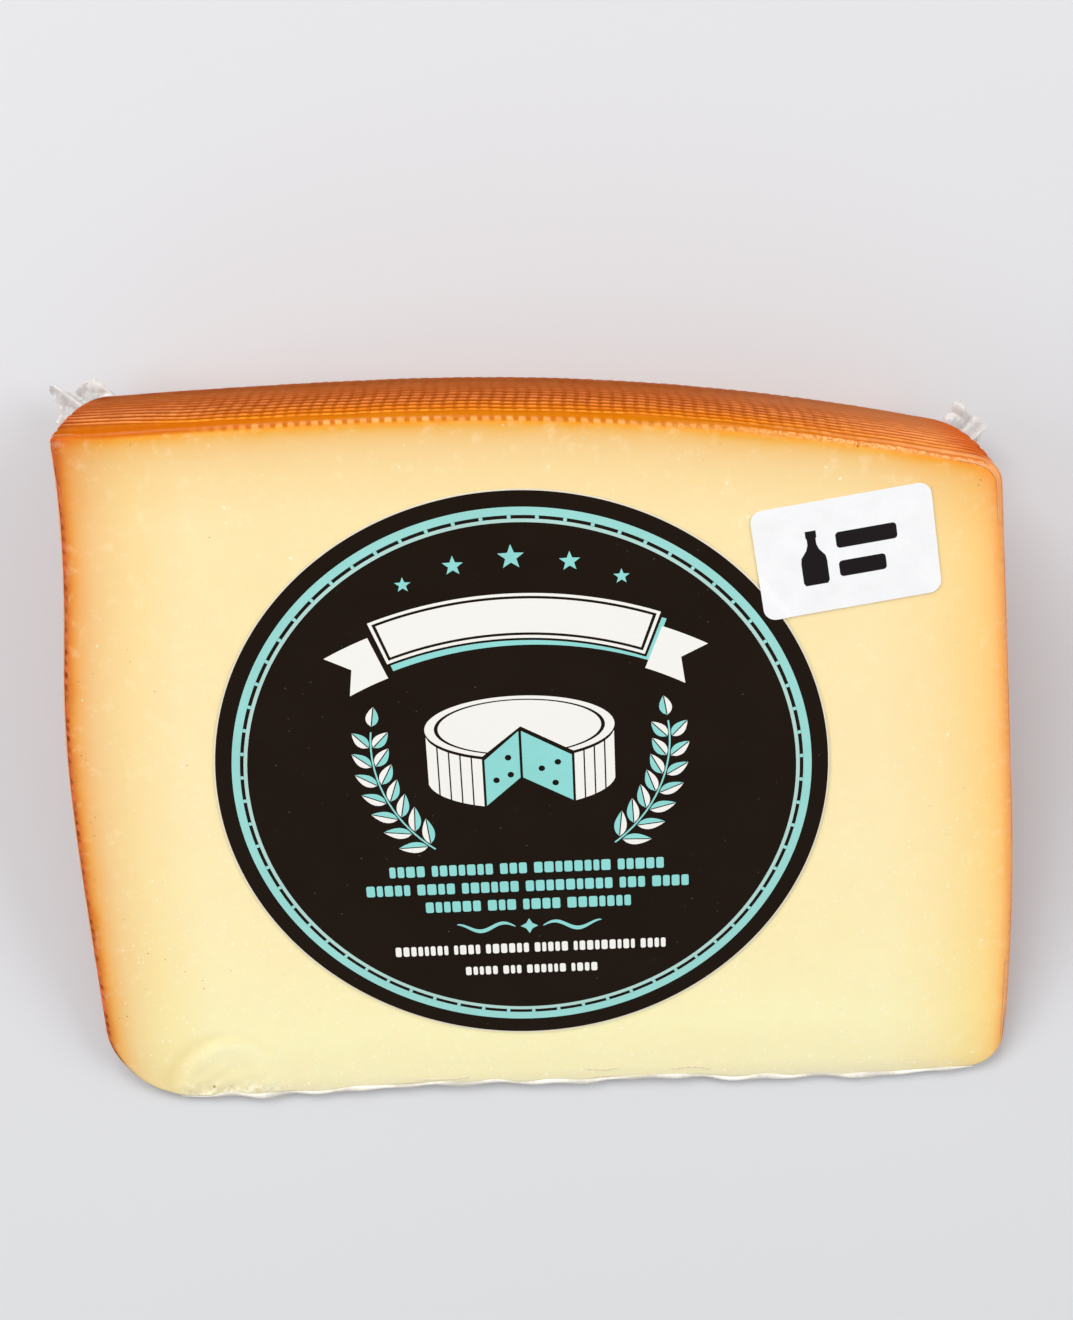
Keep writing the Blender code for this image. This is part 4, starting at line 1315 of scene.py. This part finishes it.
# Radii and counts of the label's round parts, in mm
LABEL_RADIUS = 50.98
INK_RADIUS = 50.74
RING_RADII = (48.02, 46.65)
THIN_RING_RADII = (46.06, 45.46)
TICK_RADIUS = 46.36
TICK_COUNT = 66
STAR_RADIUS = 39.6
STARS = ((0.0, 2.2), (13.5, 1.75), (-13.5, 1.75), (26.0, 1.35), (-26.0, 1.35))


def build_label():
    paper, ink, ring, thin = (bmesh.new() for _ in range(4))
    flat_shape(paper, circle(LABEL_RADIUS, 256), LABEL_BOTTOM, LABEL_TOP)
    paper_look = paper_material("label_paper", "e6dfca")
    finish_plates("label_paper", paper, paper_look, "round_label", on_label)
    black = ink_material("label_black", "1a0f06", 0.38, 0.16)
    flat_shape(ink, circle(INK_RADIUS, 256), LABEL_TOP + 0.005, INK_TOP)

    print_on(ring, circle(RING_RADII[0], 256), [circle(RING_RADII[1], 256)])
    for i in range(TICK_COUNT):
        t = 2.0 * math.pi * (i + 0.5) / TICK_COUNT
        print_on(ring, [turned((TICK_RADIUS + a, b), t) for a, b in rounded_box(0.72, 0.6, 0.25, steps=3)])
    print_on(thin, circle(THIN_RING_RADII[0], 256), [circle(THIN_RING_RADII[1], 256)])

    white, turquoise = bmesh.new(), bmesh.new()
    draw_ribbon(white, turquoise, ink)
    draw_wheel(white, turquoise)
    draw_sprigs(white, turquoise)
    draw_block_rows(turquoise, BLOCK_ROWS_TURQUOISE, 3)
    draw_block_rows(white, BLOCK_ROWS_WHITE, 5)
    draw_flourish(turquoise)
    for turn, size in STARS:
        print_on(turquoise, star(at_angle((0.0, 0.0), STAR_RADIUS, math.radians(90.0 + turn)), size))
    finish_plates("label_ink", ink, black, "round_label", on_label)
    for name, builder, look, colour, worn in (
            ("label_ring", ring, "label_turquoise", "94cec7", 0.15),
            ("label_ring_thin", thin, "label_pale_turquoise", "aacdc5", 0.15),
            ("label_white_print", white, "label_white", "efece5", 0.0),
            ("label_blue_print", turquoise, "label_blue", "8bcfc9", 0.15)):
        material = ink_material(look, colour, 0.45, 0.0, worn)
        finish_plates(name, builder, material, "round_label", on_label)


# Sticker
STICKER_SIZE = (28.4, 18.8)
STICKER_CORNER = 2.0
STICKER_BOTTOM = 0.03
STICKER_THICKNESS = 0.08
STICKER_STEP = 0.17


def sticker_lift(across, up):
    """Height in mm of the sticker's underside: it lies on the film and climbs onto the label."""
    from_middle = math.hypot(across, up) / MM
    climb = 1.0 - smooth((from_middle - 50.9) / 1.6)
    return STICKER_BOTTOM + STICKER_STEP * float(climb)


def divided(outline, step):
    """The same outline with points no farther apart than a step."""
    points = []
    for start, end in zip(outline, outline[1:] + outline[:1]):
        parts = max(1, math.ceil(math.dist(start, end) / step))
        way = (end[0] - start[0], end[1] - start[1])
        for i in range(parts):
            share = i / parts
            points.append((start[0] + way[0] * share, start[1] + way[1] * share))
    return points


def on_sticker(spot):
    across, up = turned(spot, STICKER_TURN)
    across, up = across * MM + STICKER_OFFSET[0], up * MM + STICKER_OFFSET[1]
    return face_point(across, up, (spot[2] + sticker_lift(across, up)) * MM)


def build_sticker():
    body = bmesh.new()
    outline = np.array(divided(rounded_box(*STICKER_SIZE, STICKER_CORNER), 0.6))
    shares = [1.0 - 0.025 * k for k in range(30)] + [0.2, 0.1]
    rings = [(outline * share, STICKER_THICKNESS) for share in reversed(shares)]
    rings += [(outline * share, 0.0) for share in shares]
    loops = []
    for spots, height in rings:
        loops.append([body.verts.new((u, v, height)) for u, v in spots])
    for inner, outer in zip(loops, loops[1:]):
        for i in range(len(inner)):
            j = (i + 1) % len(inner)
            body.faces.new((inner[i], inner[j], outer[j], outer[i]))
    body.faces.new(loops[0])
    body.faces.new(loops[-1][::-1])
    paper = paper_material("sticker_paper", "f2f1f1", 0.5)
    finish_plates("sticker", body, paper, "small_sticker", on_sticker)

    # A bottle and two bars in place of the words
    marks = bmesh.new()
    top = STICKER_THICKNESS + 0.004
    neck = [(0.85, 4.6), (0.85, 3.5), (0.7, 3.3), (0.7, 2.3), (1.0, 1.4), (1.9, 0.2), (2.05, -0.7)]
    half = neck + [(2.05, -4.1), (1.75, -4.6)]
    bottle = [(-u, v) for u, v in reversed(half)] + half
    flat_shape(marks, moved(bottle[::-1], -5.2, 0.0), top, top + 0.02)
    flat_shape(marks, rounded_box(9.6, 2.7, 0.6, (3.4, 2.3)), top, top + 0.02)
    flat_shape(marks, rounded_box(7.4, 2.7, 0.6, (2.3, -2.6)), top, top + 0.02)
    ink = ink_material("sticker_black", "1a1517", 0.5)
    finish_plates("sticker_marks", marks, ink, "small_sticker", on_sticker)


# Surroundings

def build_floor():
    bpy.ops.mesh.primitive_plane_add(size=4.0, location=(0.0, 0.0, -0.0002))
    floor = bpy.context.object
    floor.name = "floor"
    nodes = Nodes("pale_floor")
    nodes.set(Base_Color=(0.58, 0.58, 0.59, 1.0), Roughness=0.9)
    floor.data.materials.append(nodes.material)


def add_area_light(name, place_at, aim, size, power, colour=(1.0, 1.0, 1.0)):
    light = bpy.data.lights.new(name, "AREA")
    light.shape = "RECTANGLE"
    light.size, light.size_y = size
    light.energy = power
    light.color = colour
    made = bpy.data.objects.new(name, light)
    made.location = place_at
    made.rotation_euler = (Vector(aim) - Vector(place_at)).to_track_quat("-Z", "Y").to_euler()
    bpy.context.scene.collection.objects.link(made)


def build_lights():
    add_area_light("key", (-0.35, 0.75, 0.95), (0.0, 0.0, 0.02), (0.9, 0.6), 10.2)
    add_area_light("fill", (0.85, 0.15, 0.75), (0.0, 0.0, 0.02), (0.6, 0.6), 5.15)
    add_area_light("left", (-0.85, -0.05, 0.55), (0.0, 0.0, 0.02), (0.5, 0.5), 2.8)
    world = bpy.data.worlds.new("studio")
    bpy.context.scene.world = world
    world.use_nodes = True
    background = world.node_tree.nodes["Background"]
    background.inputs[0].default_value = (0.95, 0.97, 1.0, 1.0)
    background.inputs[1].default_value = 0.515


def build_camera():
    """Camera that looks down on the upper cut face as in the photograph."""
    data = bpy.data.cameras.new("camera")
    data.sensor_fit = "VERTICAL"
    data.sensor_height = 36.0
    data.sensor_width = 36.0
    data.lens = 53.64
    data.clip_start = 0.01
    camera = bpy.data.objects.new("camera", data)
    right = Vector((0.99910, -0.04080, -0.01127))
    up = Vector((0.04079, 0.99917, -0.00104))
    back = Vector((0.01130, 0.00058, 0.99994))
    spot = Vector((6.90 * MM + AXIS_X, 79.29 * MM + AXIS_Y, 354.17 * MM))
    camera.matrix_world = Matrix((
        (right.x, up.x, back.x, spot.x),
        (right.y, up.y, back.y, spot.y),
        (right.z, up.z, back.z, spot.z),
        (0.0, 0.0, 0.0, 1.0)))
    bpy.context.scene.collection.objects.link(camera)
    bpy.context.scene.camera = camera
    bpy.context.scene.view_settings.view_transform = "Standard"


build_cheese()
build_film()
gathered = gathered_film_material("gathered_film", "dcd9d5", 0.25, 0.92)
build_ear("film_corner_left", LEFT_EAR_ROOT, LEFT_EAR_EDGE, LEFT_EAR_RIDGES, 0.4, gathered)
build_ear("film_corner_right", RIGHT_EAR_ROOT, RIGHT_EAR_EDGE, RIGHT_EAR_RIDGES, 2.1, gathered)
build_nose_lip(gathered_film_material("film_welt", "faf4e8", 0.50, 0.92))
build_film_folds()
build_crumbs("dark_crumbs", DARK_CRUMBS, 0.21, "4c3a1e", 1)
build_crumbs("olive_crumbs", OLIVE_CRUMBS, 0.26, "b49a54", 2)
build_crumbs("pale_grains", PALE_GRAINS, 0.42, "fff0c4", 3)
build_label()
build_sticker()
build_floor()
build_lights()
build_camera()
